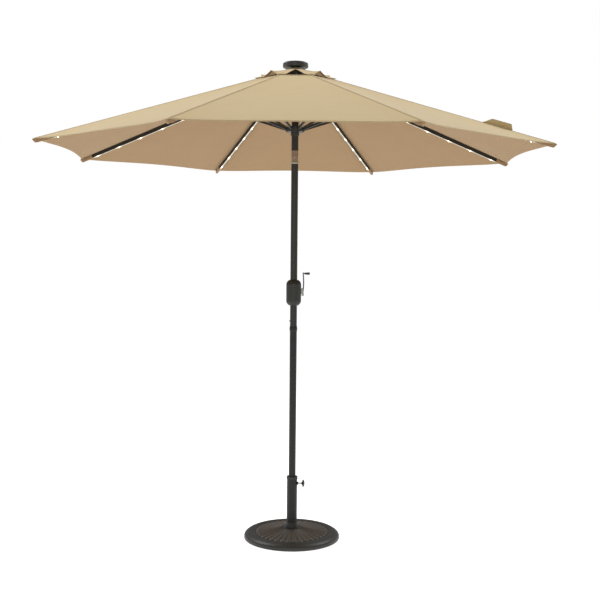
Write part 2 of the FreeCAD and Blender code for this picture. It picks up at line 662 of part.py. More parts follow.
def make_tilt_joint():
    """A fork on the pole and a hollow tongue under the head, joined by two short pins."""
    fork_solid = fuse(
        rod("upper_radius", REACH, (0, 0, "tilt_bottom")),
        rod(SWING, "2 * (upper_radius + past)", (0, "-upper_radius - past", "tilt_pivot"), ALONG_Y),
    )
    round_bar = rod("upper_radius", f"2 * {REACH}", (0, 0, "tilt_bottom"))
    fork_body = fuse(common(fork_solid, round_bar),
                     rod(PLUG, "plug_length", (0, 0, "tilt_bottom - plug_length")))
    gap = box(("-drill / 2", "drill / 2"), ("-tongue_half - slip", "tongue_half + slip"),
              (f"tilt_pivot - {SWING} - fork_gap", "tilt_pivot + drill"))
    way = rod("cord_way", "plug_length + drill", (0, 0, "tilt_bottom - plug_length - past"))
    pin_hole = rod("tilt_pin_radius + fit", "drill", ACROSS, ALONG_Y)
    piece("tilt_socket", cut(fork_body, gap, way, pin_hole))

    pins = []
    for flip in (0, 180):
        length = "upper_radius - cord_slot_half - 2 * fork_gap"
        pins.append(rod("tilt_pin_radius", length, (0, "cord_slot_half + fork_gap", "tilt_pivot"),
                        ALONG_Y, flip))
    piece("tilt_pins", group(pins))

    collar_bottom = f"tilt_pivot + {SWING} + swing_gap"
    tongue_disc = rod(SWING, "2 * tongue_half", (0, "-tongue_half", "tilt_pivot"), ALONG_Y)
    tongue_bar = box((f"-({SWING})", SWING), ("-tongue_half", "tongue_half"),
                     ("tilt_pivot", f"{collar_bottom} + past"))
    inside_pole = rod("upper_radius", "drill", (0, 0, "tilt_pivot - drill / 2"))
    tongue = common(fuse(tongue_disc, tongue_bar), inside_pole)
    collar = rod("upper_radius", f"tilt_top - ({collar_bottom})", (0, 0, collar_bottom))
    plug = rod(PLUG, "plug_length", (0, 0, "tilt_top"))
    slot = box(("-3 * cord_slot_half", "3 * cord_slot_half"), ("-cord_slot_half", "cord_slot_half"),
               ("tilt_pivot - drill / 2", f"{collar_bottom} + past"))
    head_way = rod("cord_way", "plug_length + drill", (0, 0, collar_bottom))
    turning_hole = rod("tilt_pin_radius + slip", "drill", ACROSS, ALONG_Y)
    piece("tilt_knuckle", cut(fuse(tongue, collar, plug), slot, head_way, turning_hole))


# ---------------------------------------------------------------- head

CANOPY_TOP = "(hub_height + (rib_height / 2 + canopy_gap + cloth) / cos(rib_slope))"
VENT_BOTTOM = f"({CANOPY_TOP} - (vent_radius - pivot_radius) * tan(rib_slope) + vent_gap)"
VENT_SLOPE = f"((vent_top - {VENT_BOTTOM}) / (vent_radius - vent_hole))"
VENT_APEX = f"(vent_top + {VENT_SLOPE} * vent_hole)"
SPIGOT_TOP = f"({VENT_APEX} - {VENT_SLOPE} / cos({RIB_STEP / 2}) * spigot_radius - strap_gap)"


def make_top_pole():
    """The head's pole, slotted at the top for the pulley."""
    inside = "upper_radius - upper_wall"
    tube = turned([
        (inside, "tilt_top"), ("upper_radius", "tilt_top"), ("upper_radius", "pole_top"),
        (inside, "pole_top"),
    ])
    slot = box(("past", "upper_radius + past"),
               ("-pulley_half - pulley_side", "pulley_half + pulley_side"),
               ("pulley_height - pulley_radius - pulley_below", "pole_top + past"))
    axle_hole = rod("pin_radius + fit", "drill", (PULLEY, "-drill / 2", "pulley_height"), ALONG_Y)
    return piece("top_pole", cut(tube, slot, axle_hole))


def slots(low, high):
    """Radial slots open to the outside, one for each rib."""
    return [box(("slot_start", "crown_radius + past"), ("-slot_half", "slot_half"),
                (f"{low} - past", f"{high} + past"), azimuth)
            for azimuth in rib_azimuths()]


def rib_azimuths():
    return [FIRST_RIB + RIB_STEP * number for number in range(RIBS)]


def make_hub():
    """Slots for the rib tabs, a window for the pulley and a spigot for the vent cap."""
    low = "hub_height - hub_below"
    high = "hub_height + hub_above"
    bore = "upper_radius + fit"
    ring = turned([
        (bore, low), ("crown_radius", low), ("crown_radius", high), ("spigot_radius + spigot_foot", high),
        ("spigot_radius", f"{high} + spigot_foot"), ("spigot_radius", SPIGOT_TOP), (bore, SPIGOT_TOP),
    ])
    window = box(("upper_radius - past", f"{PULLEY} + pulley_radius + window_gap"),
                 ("-pulley_half - window_side", "pulley_half + window_side"),
                 (f"{low} - past", "pulley_height + pulley_radius + window_gap"))
    holes = []
    pins = []
    for azimuth in rib_azimuths():
        holes.append(rod("pin_radius + fit", "2 * (pin_half + slip)",
                         ("pivot_radius", "-pin_half - slip", "hub_height"), ALONG_Y, azimuth))
        pins.append(rod("pin_radius", "2 * pin_half", ("pivot_radius", "-pin_half", "hub_height"),
                        ALONG_Y, azimuth))
    piece("hub", cut(ring, window, *slots(low, high), *holes))
    piece("hub_pins", group(pins))


def make_pulley():
    """A grooved wheel on an axle through the pole's walls."""
    bore = "pin_radius + slip"
    groove = "cord_radius + slip"
    wheel = turned([
        (bore, "-pulley_half"), ("pulley_radius", "-pulley_half"), ("pulley_groove", f"-({groove})"),
        ("pulley_groove", groove), ("pulley_radius", "pulley_half"), (bore, "pulley_half"),
    ])
    wheel.Placement = Placement(Vector(size(PULLEY), 0, size("pulley_height")), ALONG_Y)
    axle = rod("pin_radius", "2 * axle_half", (PULLEY, "-axle_half", "pulley_height"), ALONG_Y)
    return piece("pulley", group([wheel, axle]))


def make_runner():
    """Slides on the pole. Its crown has open slots where the strut ends swing."""
    low = "runner_height - runner_half"
    high = "runner_height + runner_half"
    foot = f"{low} - runner_collar_height"
    bore = "upper_radius + runner_gap"
    collar = "upper_radius + runner_wall"
    ring = turned([
        (bore, foot), (collar, foot), (collar, low), ("crown_radius", low), ("crown_radius", high),
        (bore, high),
    ], rounds=[(collar, foot, "runner_round")])
    return piece("runner", cut(ring, *slots(low, high)))


def channel(width, height, wall, start, end):
    """A channel along X with its open side down, middle on the axis."""
    outer = box((start, end), (f"-{width} / 2", f"{width} / 2"), (f"-{height} / 2", f"{height} / 2"))
    inner = box((f"{start} - past", f"{end} - rib_cap"),
                (f"-{width} / 2 + {wall}", f"{width} / 2 - {wall}"),
                (f"-{height} / 2 - past", f"{height} / 2 - {wall}"))
    return cut(outer, inner)


def eye(radius, x, z):
    """A tab's round end, about a pin across X."""
    return rod(radius, "2 * tab_half", (x, "-tab_half", z), ALONG_Y)


def rib_frame(azimuth):
    """From a rib's own frame, pin at its origin and tip along +X, to its place when open."""
    lean = Placement(Vector(size("pivot_radius"), 0, size("hub_height")),
                     Rotation(Vector(0, 1, 0), size("rib_slope")))
    return turned_round(azimuth) * lean


def make_rib(number, azimuth):
    """A channel with a tab for the hub and two ears with a rivet for the strut."""
    tab = fuse(
        eye("tab_radius", 0, 0),
        box(("0", "rib_start + rib_plug"), ("-tab_half", "tab_half"), ("-tab_radius", "tab_radius")),
        box(("rib_start", "rib_start + rib_plug"),
            ("-rib_width / 2 + rib_wall", "rib_width / 2 - rib_wall"),
            ("-tab_radius", "rib_height / 2 - rib_wall")),
    )
    bar = channel("rib_width", "rib_height", "rib_wall", "rib_start", "rib_length")
    ears = []
    for side in ("-1", "1"):
        inner = f"{side} * (rib_width / 2 - rib_wall / 2) - rib_wall / 2"
        ears.append(box(("strut_at - ear_half", "strut_at + ear_half"), (inner, f"{inner} + rib_wall"),
                        ("-strut_drop - ear_below", "0")))
    rivet = rod("pin_radius", "rib_width + 2 * rivet_head",
                ("strut_at", "-rib_width / 2 - rivet_head", "-strut_drop"), ALONG_Y)
    hole = rod("pin_radius + slip", "drill", (0, "-drill / 2", 0), ALONG_Y)
    rib = cut(fuse(tab, bar, *ears, rivet), hole)
    rib.Placement = rib_frame(azimuth)
    return piece(f"rib_{number}", rib)


def make_led_strip(number, azimuth):
    """A strip in the open side of the rib, in front of and behind the strut's ears."""
    low = "-rib_height / 2 - strip_below"
    spans = (("strip_start", "strut_at - strip_gap"), ("strut_at + strip_gap", "rib_length - strip_short"))
    strips = [box(span, ("-strip_width / 2", "strip_width / 2"), (low, f"{low} + strip_height"))
              for span in spans]
    webs = [box((f"{span[0]} + strip_web_half", f"{span[1]} - strip_web_half"),
                ("-strip_web_half", "strip_web_half"),
                (f"{low} + strip_height", "rib_height / 2 - rib_wall")) for span in spans]
    strip = fuse(*strips, *webs)
    strip.Placement = rib_frame(azimuth)
    return piece(f"led_strip_{number}", strip)


def strut_ends():
    """A strut's two ends at rest, in the plane of its rib."""
    placed = rib_frame(0).multVec(Vector(size("strut_at"), 0, -size("strut_drop")))
    return placed, Vector(size("pivot_radius"), 0, size("runner_height"))


def make_strut(number, azimuth):
    """A bar from the rib's rivet to the runner, with a short stub at its runner end."""
    upper, lower = strut_ends()
    run = lower - upper
    span = f"{run.Length:.6f}"
    bar = box(("0", span), ("-strut_width / 2", "strut_width / 2"),
              ("-strut_height / 2", "strut_height / 2"))
    ends = [rod("strut_height / 2", "strut_width", (x, "-strut_width / 2", 0), ALONG_Y)
            for x in ("0", span)]
    groove = box(("strut_solid", f"{span} - strut_solid"),
                 ("-strut_width / 2 + strut_wall", "strut_width / 2 - strut_wall"),
                 ("-strut_height", "strut_height / 2 - strut_wall"))
    hole = rod("pin_radius + slip", "drill", (0, "-drill / 2", 0), ALONG_Y)
    strut = cut(fuse(bar, *ends), groove, hole)
    aim = Rotation(Vector(1, 0, 0), run)
    strut.Placement = turned_round(azimuth) * Placement(upper, aim)
    return piece(f"strut_{number}", strut)


# ---------------------------------------------------------------- canopy


def panel(inner, outer, inset):
    """A flat panel between two neighbouring ribs. The inner and outer points lie on one rib's line."""
    half = RIB_STEP / 2
    away = turned_round(-half)
    across = turned_round(half)
    side = Vector(0, size("seam_gap"), 0)
    first = [away.multVec(inner) + side, away.multVec(outer) + side]
    last = [across.multVec(outer) - side, across.multVec(inner) - side]
    middle = (first[1] + last[0]) * 0.5
    inward = (first[0] + last[1]) * 0.5 - middle
    bow = middle + inward * (inset / inward.Length)
    edges = [Part.LineSegment(first[0], first[1]).toShape(), Part.Arc(first[1], bow, last[0]).toShape(),
             Part.LineSegment(last[0], last[1]).toShape(), Part.LineSegment(last[1], first[0]).toShape()]
    face = Part.Face(Part.Wire(edges))
    normal = face.normalAt(0, 0)
    normal = normal if normal.z > 0 else normal * -1
    return face.extrude(normal * size("cloth"))


def ring_of_panels(label, shape):
    """Eight copies of one panel, each between two ribs."""
    copies = []
    for azimuth in rib_azimuths():
        copy = shape.copy()
        copy.rotate(SAME, UP, azimuth + RIB_STEP / 2)
        copies.append(copy)
    thing = document.addObject("Part::Feature", label)
    thing.Shape = Part.makeCompound(copies)
    return piece(label, thing)


def make_canopy():
    """Flat panels that rest on the ribs, open in the middle under the vent cap."""
    frame = rib_frame(0)
    height = size("rib_height / 2 + canopy_gap")
    outer = frame.multVec(Vector(size("rib_length + canopy_past"), 0, height))
    slope = size("tan(rib_slope)")
    hole = size("canopy_hole")
    inner = Vector(hole, 0, outer.z + (outer.x - hole) * slope)
    return ring_of_panels("canopy", panel(inner, outer, size("eave_inset")))


def make_vent_canopy():
    """The small upper canopy, clamped on the hub's spigot, with arched edges."""
    inner = Vector(size("vent_hole"), 0, size("vent_top"))
    outer = Vector(size("vent_radius"), 0, size(VENT_BOTTOM))
    return ring_of_panels("vent_canopy", panel(inner, outer, size("vent_inset")))


def make_closure_strap():
    """A loop of cloth that stands on the seam of the last rib."""
    low = "rib_height / 2 + canopy_gap + cloth + strap_gap"
    loop = box(("strap_start", "strap_start + strap_length"), ("-cloth / 2", "cloth / 2"),
               (low, f"{low} + strap_height"))
    loop.Placement = rib_frame(rib_azimuths()[-1]) * loop.Placement
    return piece("closure_strap", loop)


# ---------------------------------------------------------------- solar cap

BUTTON_AZIMUTH = -25


def make_cap():
    """Two shells with the solar panel on top and the power button in the side."""
    plug = "upper_radius - upper_wall - fit"
    plug_foot = "pole_top - cap_plug"
    inside = "cap_radius - cap_wall"
    piece("cap_base", turned([
        ("cap_bore", plug_foot), (plug, plug_foot), (plug, SPIGOT_TOP), ("cap_boss", SPIGOT_TOP),
        ("cap_boss", "cap_bottom"), ("cap_radius - cap_bevel", "cap_bottom"),
        ("cap_radius", "cap_bottom + cap_bevel"), ("cap_radius", "cap_split"), (inside, "cap_split"),
        (inside, "cap_bottom + cap_wall"), ("cap_bore", "cap_bottom + cap_wall"),
    ]))
    seat = "cap_top - panel_thickness"
    cover = turned([
        (inside, "cap_split"), ("cap_radius", "cap_split"), ("cap_radius", "cap_top - cap_round"),
        ("cap_radius - cap_slope", "cap_top"), ("panel_radius", "cap_top"), ("panel_radius", seat),
        ("0", seat), ("0", f"{seat} - cap_wall"), ("cap_radius - cap_inner_slope", f"{seat} - cap_wall"),
        (inside, f"{seat} - cap_wall - cap_round"),
    ], rounds=[("cap_radius", "cap_top - cap_round", "cap_round")])
    hole = rod("button_radius + slip", "drill", ("cap_radius / 2", 0, "button_height"), ALONG_X,
               BUTTON_AZIMUTH)
    piece("cap_cover", cut(cover, hole))
    piece("solar_panel", rod("panel_radius - fit", "panel_thickness - panel_sunk", (0, 0, seat)))
    start = ("cap_radius - cap_wall - button_inside", 0, "button_height")
    pin = rod("button_radius", "button_length", start, ALONG_X, BUTTON_AZIMUTH)
    flange = rod("button_radius + button_flange", "button_flange_width", start, ALONG_X, BUTTON_AZIMUTH)
    piece("power_button", fuse(pin, flange))


# ---------------------------------------------------------------- lift cord


def make_lift_cords():
    """From the spool up inside the pole, over the pulley and down to the runner."""
    radius = size("cord_radius")
    pivot = size("tilt_pivot")
    gap = size("cord_joint")
    spool_side = size("drum_radius + cord_radius + slip")
    start = Vector(0, spool_side, size(SHAFT))
    bend = Vector(0, 0, pivot - size("cord_bend"))
    lower = pipe([Part.LineSegment(start, bend).toShape(),
                  Part.LineSegment(bend, Vector(0, 0, pivot - gap)).toShape()], radius)
    piece("lift_cord_lower", lower)

    over = size("pulley_groove + cord_radius + slip")
    centre = Vector(size(PULLEY), 0, size("pulley_height"))
    inner = centre - Vector(over, 0, 0)
    outer = centre + Vector(over, 0, 0)
    top = centre + Vector(0, 0, over)
    straight = Vector(0, 0, pivot + gap)
    upper = pipe([Part.LineSegment(straight, inner).toShape(), Part.Arc(inner, top, outer).toShape()],
                 radius)
    piece("lift_cord_upper", upper)
    fall = "pulley_height - (runner_height + runner_half)"
    x = f"{PULLEY} + pulley_groove + cord_radius + slip"
    piece("lift_cord_fall", rod("cord_radius", fall, (x, 0, "runner_height + runner_half")))


def build():
    make_base_plate()
    make_base_bolt()
    make_base_tube()
    make_pole_bushes()
    make_knob()
    make_lower_pole()
    make_mid_pole()
    make_snap_button()
    make_housing()
    make_shaft_bushes()
    make_spool()
    make_crank()
    make_tilt_joint()
    make_top_pole()
    make_hub()
    make_pulley()
    make_runner()
    for number, azimuth in enumerate(rib_azimuths(), start=1):
        make_rib(number, azimuth)
        make_led_strip(number, azimuth)
        make_strut(number, azimuth)
    make_canopy()
    make_vent_canopy()
    make_closure_strap()
    make_cap()
    make_lift_cords()
    document.recompute()


def write_parts():
    """Check every object, then write each sub-part to a file of its own."""
    for thing in document.Objects:
        if "Invalid" in thing.State or "Error" in thing.State:
            raise RuntimeError(f"{thing.Name} ({thing.Label}) failed: {thing.State}")
    for node in NODES:
        if node.Shape.isNull() or not node.Shape.isValid():
            raise RuntimeError(f"{node.Label} has no valid shape")
    os.makedirs("parts", exist_ok=True)
    for node in NODES:
        node.Shape.exportStep(f"parts/{node.Label}.step")
    print(len(NODES), "sub-parts written")


build()
write_parts()
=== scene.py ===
# %% [markdown]
# A patio umbrella with its base: a canopy of eight cloth panels on folding ribs, a small vent cap under
# a solar cap, a crank, a tilting head and a heavy cast base. The hard parts come finished in shape from
# the CAD frame, and this lesson gives them their finishes and makes the cloth, the casting's relief and
# the small things. Everything is in metres, with +Z up and the crank on the +X side.

# %% Load the frame
import math

import bmesh
import bpy
from mathutils import Matrix, Vector


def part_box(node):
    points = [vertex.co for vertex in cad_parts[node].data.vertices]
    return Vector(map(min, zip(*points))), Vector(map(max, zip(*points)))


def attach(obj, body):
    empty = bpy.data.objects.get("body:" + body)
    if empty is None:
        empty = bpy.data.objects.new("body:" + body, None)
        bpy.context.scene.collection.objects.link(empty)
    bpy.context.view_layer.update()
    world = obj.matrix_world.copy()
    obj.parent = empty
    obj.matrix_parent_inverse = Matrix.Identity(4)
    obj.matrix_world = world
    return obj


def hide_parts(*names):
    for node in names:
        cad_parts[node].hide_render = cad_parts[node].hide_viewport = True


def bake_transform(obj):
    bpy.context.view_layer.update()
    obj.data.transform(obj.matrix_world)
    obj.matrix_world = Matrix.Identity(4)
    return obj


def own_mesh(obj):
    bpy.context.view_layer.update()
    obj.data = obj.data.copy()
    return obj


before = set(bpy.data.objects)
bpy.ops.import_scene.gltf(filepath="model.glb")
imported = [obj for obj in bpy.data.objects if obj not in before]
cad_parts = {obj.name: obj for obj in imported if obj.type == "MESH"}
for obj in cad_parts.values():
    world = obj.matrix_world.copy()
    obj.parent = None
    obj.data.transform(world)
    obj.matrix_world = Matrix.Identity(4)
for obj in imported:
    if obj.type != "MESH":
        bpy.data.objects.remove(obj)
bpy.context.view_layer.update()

# %% [markdown]
# The camera stands five metres away at eye height and is tilted three degrees down. It is below the
# eave, so the underside of the far panels shows. It could be aimed with a constraint, but a fixed
# matrix made from three angles is easier to read and always gives the same view.

# %% Camera
EYE = Vector((-0.0085, -5.115, 1.559))
YAW, PITCH, ROLL = (math.radians(angle) for angle in (0.48, 2.99, 0.51))
ahead = Vector((math.sin(YAW) * math.cos(PITCH), math.cos(YAW) * math.cos(PITCH), -math.sin(PITCH)))
level = Vector((math.cos(YAW), -math.sin(YAW), 0))
upright = level.cross(ahead)
right = math.cos(ROLL) * level + math.sin(ROLL) * upright
above = math.cos(ROLL) * upright - math.sin(ROLL) * level

camera = bpy.data.objects.new("camera", bpy.data.cameras.new("camera"))
camera.data.lens, camera.data.sensor_width = 57.2, 36
camera.matrix_world = Matrix.Translation(EYE) @ Matrix((right, above, -ahead)).transposed().to_4x4()
bpy.context.scene.collection.objects.link(camera)
bpy.context.scene.camera = camera
print("camera", tuple(round(c, 3) for c in camera.matrix_world.translation))

# %% [markdown]
# Colours are written as the sRGB codes that a painter would pick, and one function turns them into the
# linear values that the renderer works in. A second function adds any node with its settings and links,
# so that a material reads from top to bottom like a recipe.

# %% Colours and nodes


def colour(code):
    """An sRGB hex code as a linear colour."""
    parts = [int(code[i:i + 2], 16) / 255 for i in (1, 3, 5)]
    return (*[p / 12.92 if p <= 0.04045 else ((p + 0.055) / 1.055) ** 2.4 for p in parts], 1)


def add(tree, kind, settings=None, **inputs):
    """Add a node. A setting is a property, and an input is a value or the socket to link. The input a3
    means the fourth socket, and an underscore in a name means a space."""
    made = tree.nodes.new(kind)
    for name, value in (settings or {}).items():
        setattr(made, name, value)
    for name, value in inputs.items():
        by_number = name[0] == "a" and name[1:].isdigit()
        socket = made.inputs[int(name[1:]) if by_number else name.replace("_", " ")]
        if isinstance(value, bpy.types.NodeSocket):
            tree.links.new(value, socket)
        else:
            socket.default_value = value
    return made


def finish(name, tint, **shader):
    """A material with one Principled shader. Values that are the same all over are set on its sockets."""
    made = bpy.data.materials.new(name)
    made.use_nodes = True
    made.diffuse_color = colour(tint)
    surface = made.node_tree.nodes["Principled BSDF"]
    surface.inputs["Base Color"].default_value = colour(tint)
    for socket, value in shader.items():
        surface.inputs[socket.replace("_", " ")].default_value = value
    return made, made.node_tree, surface


def maths(tree, operation, *values):
    """The result of a Math node on two or three values or sockets."""
    numbered = {f"a{i}": value for i, value in enumerate(values)}
    return add(tree, "ShaderNodeMath", {"operation": operation}, **numbered).outputs["Value"]


def mixed(tree, share, first, second):
    """Two colours mixed by a share, which is a socket."""
    return add(tree, "ShaderNodeMix", {"data_type": "RGBA"}, a0=share, a6=first, a7=second).outputs[2]


def wire(tree, surface, **outputs):
    """Link outputs to the shader's sockets."""
    for socket, output in outputs.items():
        tree.links.new(output, surface.inputs[socket.replace("_", " ")])


print("powder grey", [round(c, 4) for c in colour("#23241f")])

# %% [markdown]
# Nearly every surface here is mottled a little: powder coat has orange peel, plastic has a moulded
# grain, and a casting has pits. One recipe covers them. A noise of a real size in millimetres drives
# the bump and the roughness, and a second, broader one drifts the colour. It reads Object coordinates,
# so it stays on the piece when the piece moves.

# %% The grained finish


def grained(name, tint, drift, grain, depth, rough, spread=0.08, patch=60, **shader):
    """A surface whose grain, in mm, has a depth in mm, and whose colour drifts over patches, in mm."""
    made, tree, surface = finish(name, tint, **shader)
    place = add(tree, "ShaderNodeTexCoord").outputs["Object"]
    fine = add(tree, "ShaderNodeTexNoise", Vector=place, Scale=1000 / grain, Detail=4.0, Roughness=0.6)
    broad = add(tree, "ShaderNodeTexNoise", Vector=place, Scale=1000 / patch, Detail=3.0)
    tone = mixed(tree, broad.outputs["Fac"], colour(tint), colour(drift))
    shine = add(tree, "ShaderNodeMapRange", Value=fine.outputs["Fac"], To_Min=rough - spread,
                To_Max=rough + spread)
    bump = add(tree, "ShaderNodeBump", Height=fine.outputs["Fac"], Distance=depth / 1000, Strength=0.6)
    wire(tree, surface, Base_Color=tone, Roughness=shine.outputs["Result"],
         Normal=bump.outputs["Normal"])
    return made


# %% [markdown]
# The pole and the base tube are steel tube with a powder coat, sprayed dry and baked. That gives a dark
# satin skin with an orange peel of about two millimetres. The pole's lower half and the base tube have
# the same coat painted darker, as painted shade, and the ribs have the same coat in black. The crank arm
# and the small screws are plated, so they are metals and keep the default IOR.

# %% Metal finishes
powder_coat = grained("powder coat on steel tube", "#23241f", "#1e1f1b", 2.2, 0.05, 0.44, IOR=1.45)
# Painted shade: the same coat, drawn darker for the lower pole and the base tube.
powder_coat_painted_shade = grained("powder coat on steel tube, painted darker as shade", "#171814", "#131410", 2.2, 0.05, 0.42, IOR=1.42)
rib_coat = grained("black powder coat on ribs", "#191814", "#211f1a", 2.0, 0.05, 0.5, IOR=1.5)
crank_plate = grained("dark nickel plate", "#5f5e66", "#4c4b52", 1.5, 0.02, 0.36, Metallic=1.0)
bright_zinc = grained("bright zinc plate", "#b9bcc0", "#a3a6a8", 1.2, 0.02, 0.34, Metallic=1.0)
satin_steel = grained("brushed satin steel", "#a8a79b", "#8f8e84", 1.0, 0.03, 0.4, Metallic=1.0)
print("plated finishes", [m.name for m in (crank_plate, bright_zinc, satin_steel)])

# %% [markdown]
# The crank housing, the hub, the runner and the knob are injection moulded. Spark erosion leaves the
# mould with an even grain under a millimetre, which the eye reads as matt plastic with soft highlights.
# The tilt joint is moulded in a taupe that stands out between the dark poles.

# %% Plastic finishes
housing_grain = grained("moulded ABS of the housing", "#272823", "#20211c", 0.9, 0.06, 0.5, IOR=1.45)
nylon_black = grained("glass filled nylon", "#1d1e1b", "#252622", 1.1, 0.05, 0.46, IOR=1.53)
tilt_taupe = grained("taupe painted nylon", "#806852", "#87715c", 1.4, 0.05, 0.5, IOR=1.5)
cap_shell = grained("weathered ABS of the solar cap", "#33322c", "#2a2a25", 0.9, 0.05, 0.42, IOR=1.53)
button_grey = grained("grey silicone button", "#8d949a", "#7f868c", 0.8, 0.03, 0.55, IOR=1.41)
print("plastic finishes", [m.name for m in (housing_grain, nylon_black, tilt_taupe, cap_shell)])

# %% [markdown]
# The base is cast from resin and stone powder and then painted dark, with a brown glaze that stays on the
# raised rays. The grooves are painted near black as shade. Two attributes on the mesh say how far each
# point stands up and how deep it lies, so the glaze and the painted shade follow the relief exactly. The
# pits are about three millimetres, as a casting from a sand-textured mould has.

# %% Cast stone
PIT, CLOUD = 3.2, 45
cast_stone, tree, surface = finish("cast stone with brown glaze", "#34342e", IOR=1.52)
place = add(tree, "ShaderNodeTexCoord").outputs["Object"]
pits = add(tree, "ShaderNodeTexNoise", Vector=place, Scale=1000 / PIT, Detail=5.0, Roughness=0.65)
clouds = add(tree, "ShaderNodeTexNoise", Vector=place, Scale=1000 / CLOUD, Detail=3.0)
raised = add(tree, "ShaderNodeAttribute", {"attribute_name": "relief"}).outputs["Fac"]
paint = mixed(tree, clouds.outputs["Fac"], colour("#1d1e1a"), colour("#2a2924"))
glaze = mixed(tree, raised, paint, colour("#4e4336"))
# Painted shade: the groove attribute darkens the grooves and the edge rib valleys to near black.
hollow = add(tree, "ShaderNodeAttribute", {"attribute_name": "groove"}).outputs["Fac"]
glaze_and_painted_groove_shade = mixed(tree, hollow, glaze, colour("#0b0c09"))
dull = add(tree, "ShaderNodeMapRange", Value=pits.outputs["Fac"], To_Min=0.32, To_Max=0.6)
pitted = add(tree, "ShaderNodeBump", Height=pits.outputs["Fac"], Distance=0.0003, Strength=0.7)
wire(tree, surface, Base_Color=glaze_and_painted_groove_shade, Roughness=dull.outputs["Result"], Normal=pitted.outputs["Normal"])
print("pits every", PIT, "mm")

# %% [markdown]
# The canopy is plain-woven polyester, about 180 grams a square metre, in beige. Its threads are 0.4 mm
# apart, too fine to show, so the weave is drawn at 1.6 mm, and slubs of 4 by 40 mm give the streaks
# that the eye does see. The pattern follows the panel's own UV map, in metres along and across the rib.
# The cloth is the same colour on both faces. Seen from below it lies in shade, and the light that comes
# through it is warmer, so the lower face gets a darker, warmer material of its own: painted shade. A
# little sheen stands for the fibres that stand up.

# %% Woven cloth
WEAVE = 1.6


def woven(name, tint, drift, sheen):
    """Plain weave in UV metres. Bands of a wave texture are 0.314 apart at a scale of 1."""
    made, tree, surface = finish(name, tint, Roughness=0.86, IOR=1.45, Sheen_Weight=sheen,
                                 Sheen_Roughness=0.35, Specular_IOR_Level=0.25)
    place = add(tree, "ShaderNodeUVMap", {"uv_map": "cloth"}).outputs["UV"]
    scale = 0.314 / (WEAVE / 1000)
    warp = add(tree, "ShaderNodeTexWave", {"bands_direction": "X"}, Vector=place, Scale=scale)
    weft = add(tree, "ShaderNodeTexWave", {"bands_direction": "Y"}, Vector=place, Scale=scale)
    threads = maths(tree, "MULTIPLY", warp.outputs["Fac"], weft.outputs["Fac"])
    longer = add(tree, "ShaderNodeMapping", Vector=place, Scale=(1, 0.1, 1))
    slubs = add(tree, "ShaderNodeTexNoise", Vector=longer.outputs["Vector"], Scale=250.0, Detail=3.0)
    broad = add(tree, "ShaderNodeTexNoise", Vector=place, Scale=7.0, Detail=2.0)
    streaks = maths(tree, "MULTIPLY", slubs.outputs["Fac"], 0.6)
    share = maths(tree, "MULTIPLY_ADD", broad.outputs["Fac"], 0.5, streaks)
    knit = add(tree, "ShaderNodeBump", Height=threads, Distance=0.0002, Strength=0.35)
    soft = add(tree, "ShaderNodeBump", Height=broad.outputs["Fac"], Distance=0.006, Strength=0.35,
               Normal=knit.outputs["Normal"])
    wire(tree, surface, Base_Color=mixed(tree, share, colour(tint), colour(drift)),
         Normal=soft.outputs["Normal"])
    return made


canopy_cloth = woven("beige polyester, upper face", "#dcc595", "#d2b987", 0.22)
# Painted shade: the underside is the same cloth, drawn darker and warmer than the upper face.
canopy_under_painted_shade = woven("beige polyester, underside in painted shade", "#9b8160", "#917656", 0.05)
# The doubled cloth is the same beige, drawn darker as painted shade on the hems, seams, pockets, strap
# and patch.
hem_cloth_painted_darker = woven("beige polyester, doubled hem, painted darker as shade", "#c6b085", "#bba476", 0.15)
print("weave drawn at", WEAVE, "mm")

# %% [markdown]
# The small things need five finishes. The sewing thread is slightly glossy and darker than the cloth,
# and the lift cord is a dull braid. The LED strip is a milky acrylic sleeve, which glows near the lamps
# in it. They are 150 mm apart along a rib that slopes by 18 degrees, so 142.7 mm apart as seen from
# above, and the glow fades over 30 mm. The solar cells are dark silicon behind glass, cut by thin
# silver lines every 11 mm.

# %% Thread, lamps and solar cells
LAMP_START, LAMP_STEP, GLOW_REACH = 0.2382, 0.1427, 0.03
CELL, CELL_LINE = 0.011, 0.00045
sewing_thread = grained("polyester sewing thread", "#cdb98f", "#bda97f", 1.5, 0.05, 0.6, IOR=1.5)
lift_rope = grained("braided polyester cord", "#2c2b27", "#3a3934", 1.6, 0.2, 0.8, IOR=1.5)
milky_sleeve = grained("milky acrylic sleeve", "#c6c1b2", "#bcb5a5", 4.0, 0.02, 0.35, IOR=1.49,
                       Emission_Color=colour("#fff1d8"))
tree = milky_sleeve.node_tree
place = add(tree, "ShaderNodeTexCoord").outputs["Object"]
flat = add(tree, "ShaderNodeVectorMath", {"operation": "MULTIPLY"}, a0=place, a1=(1, 1, 0))
away = add(tree, "ShaderNodeVectorMath", {"operation": "LENGTH"}, a0=flat.outputs["Vector"])
from_lamp = maths(tree, "SUBTRACT", away.outputs["Value"], LAMP_START)
swing = maths(tree, "PINGPONG", from_lamp, LAMP_STEP / 2)
glow = add(tree, "ShaderNodeMapRange", {"interpolation_type": "SMOOTHSTEP"}, Value=swing, From_Min=0.0,
           From_Max=GLOW_REACH, To_Min=1.6, To_Max=0.06)
tree.links.new(glow.outputs["Result"], tree.nodes["Principled BSDF"].inputs["Emission Strength"])
warm_lamp = grained("lit warm white lamp", "#fff6e6", "#fff2dc", 2.0, 0.01, 0.3, IOR=1.49,
                    Emission_Color=colour("#fff0d2"), Emission_Strength=6.0)
solar_cell, tree, surface = finish("silicon cells behind glass", "#141a2a", Roughness=0.2, IOR=1.52,
                                   Coat_Weight=1.0, Coat_Roughness=0.04)
place = add(tree, "ShaderNodeTexCoord").outputs["Object"]
axes = add(tree, "ShaderNodeSeparateXYZ", Vector=place)
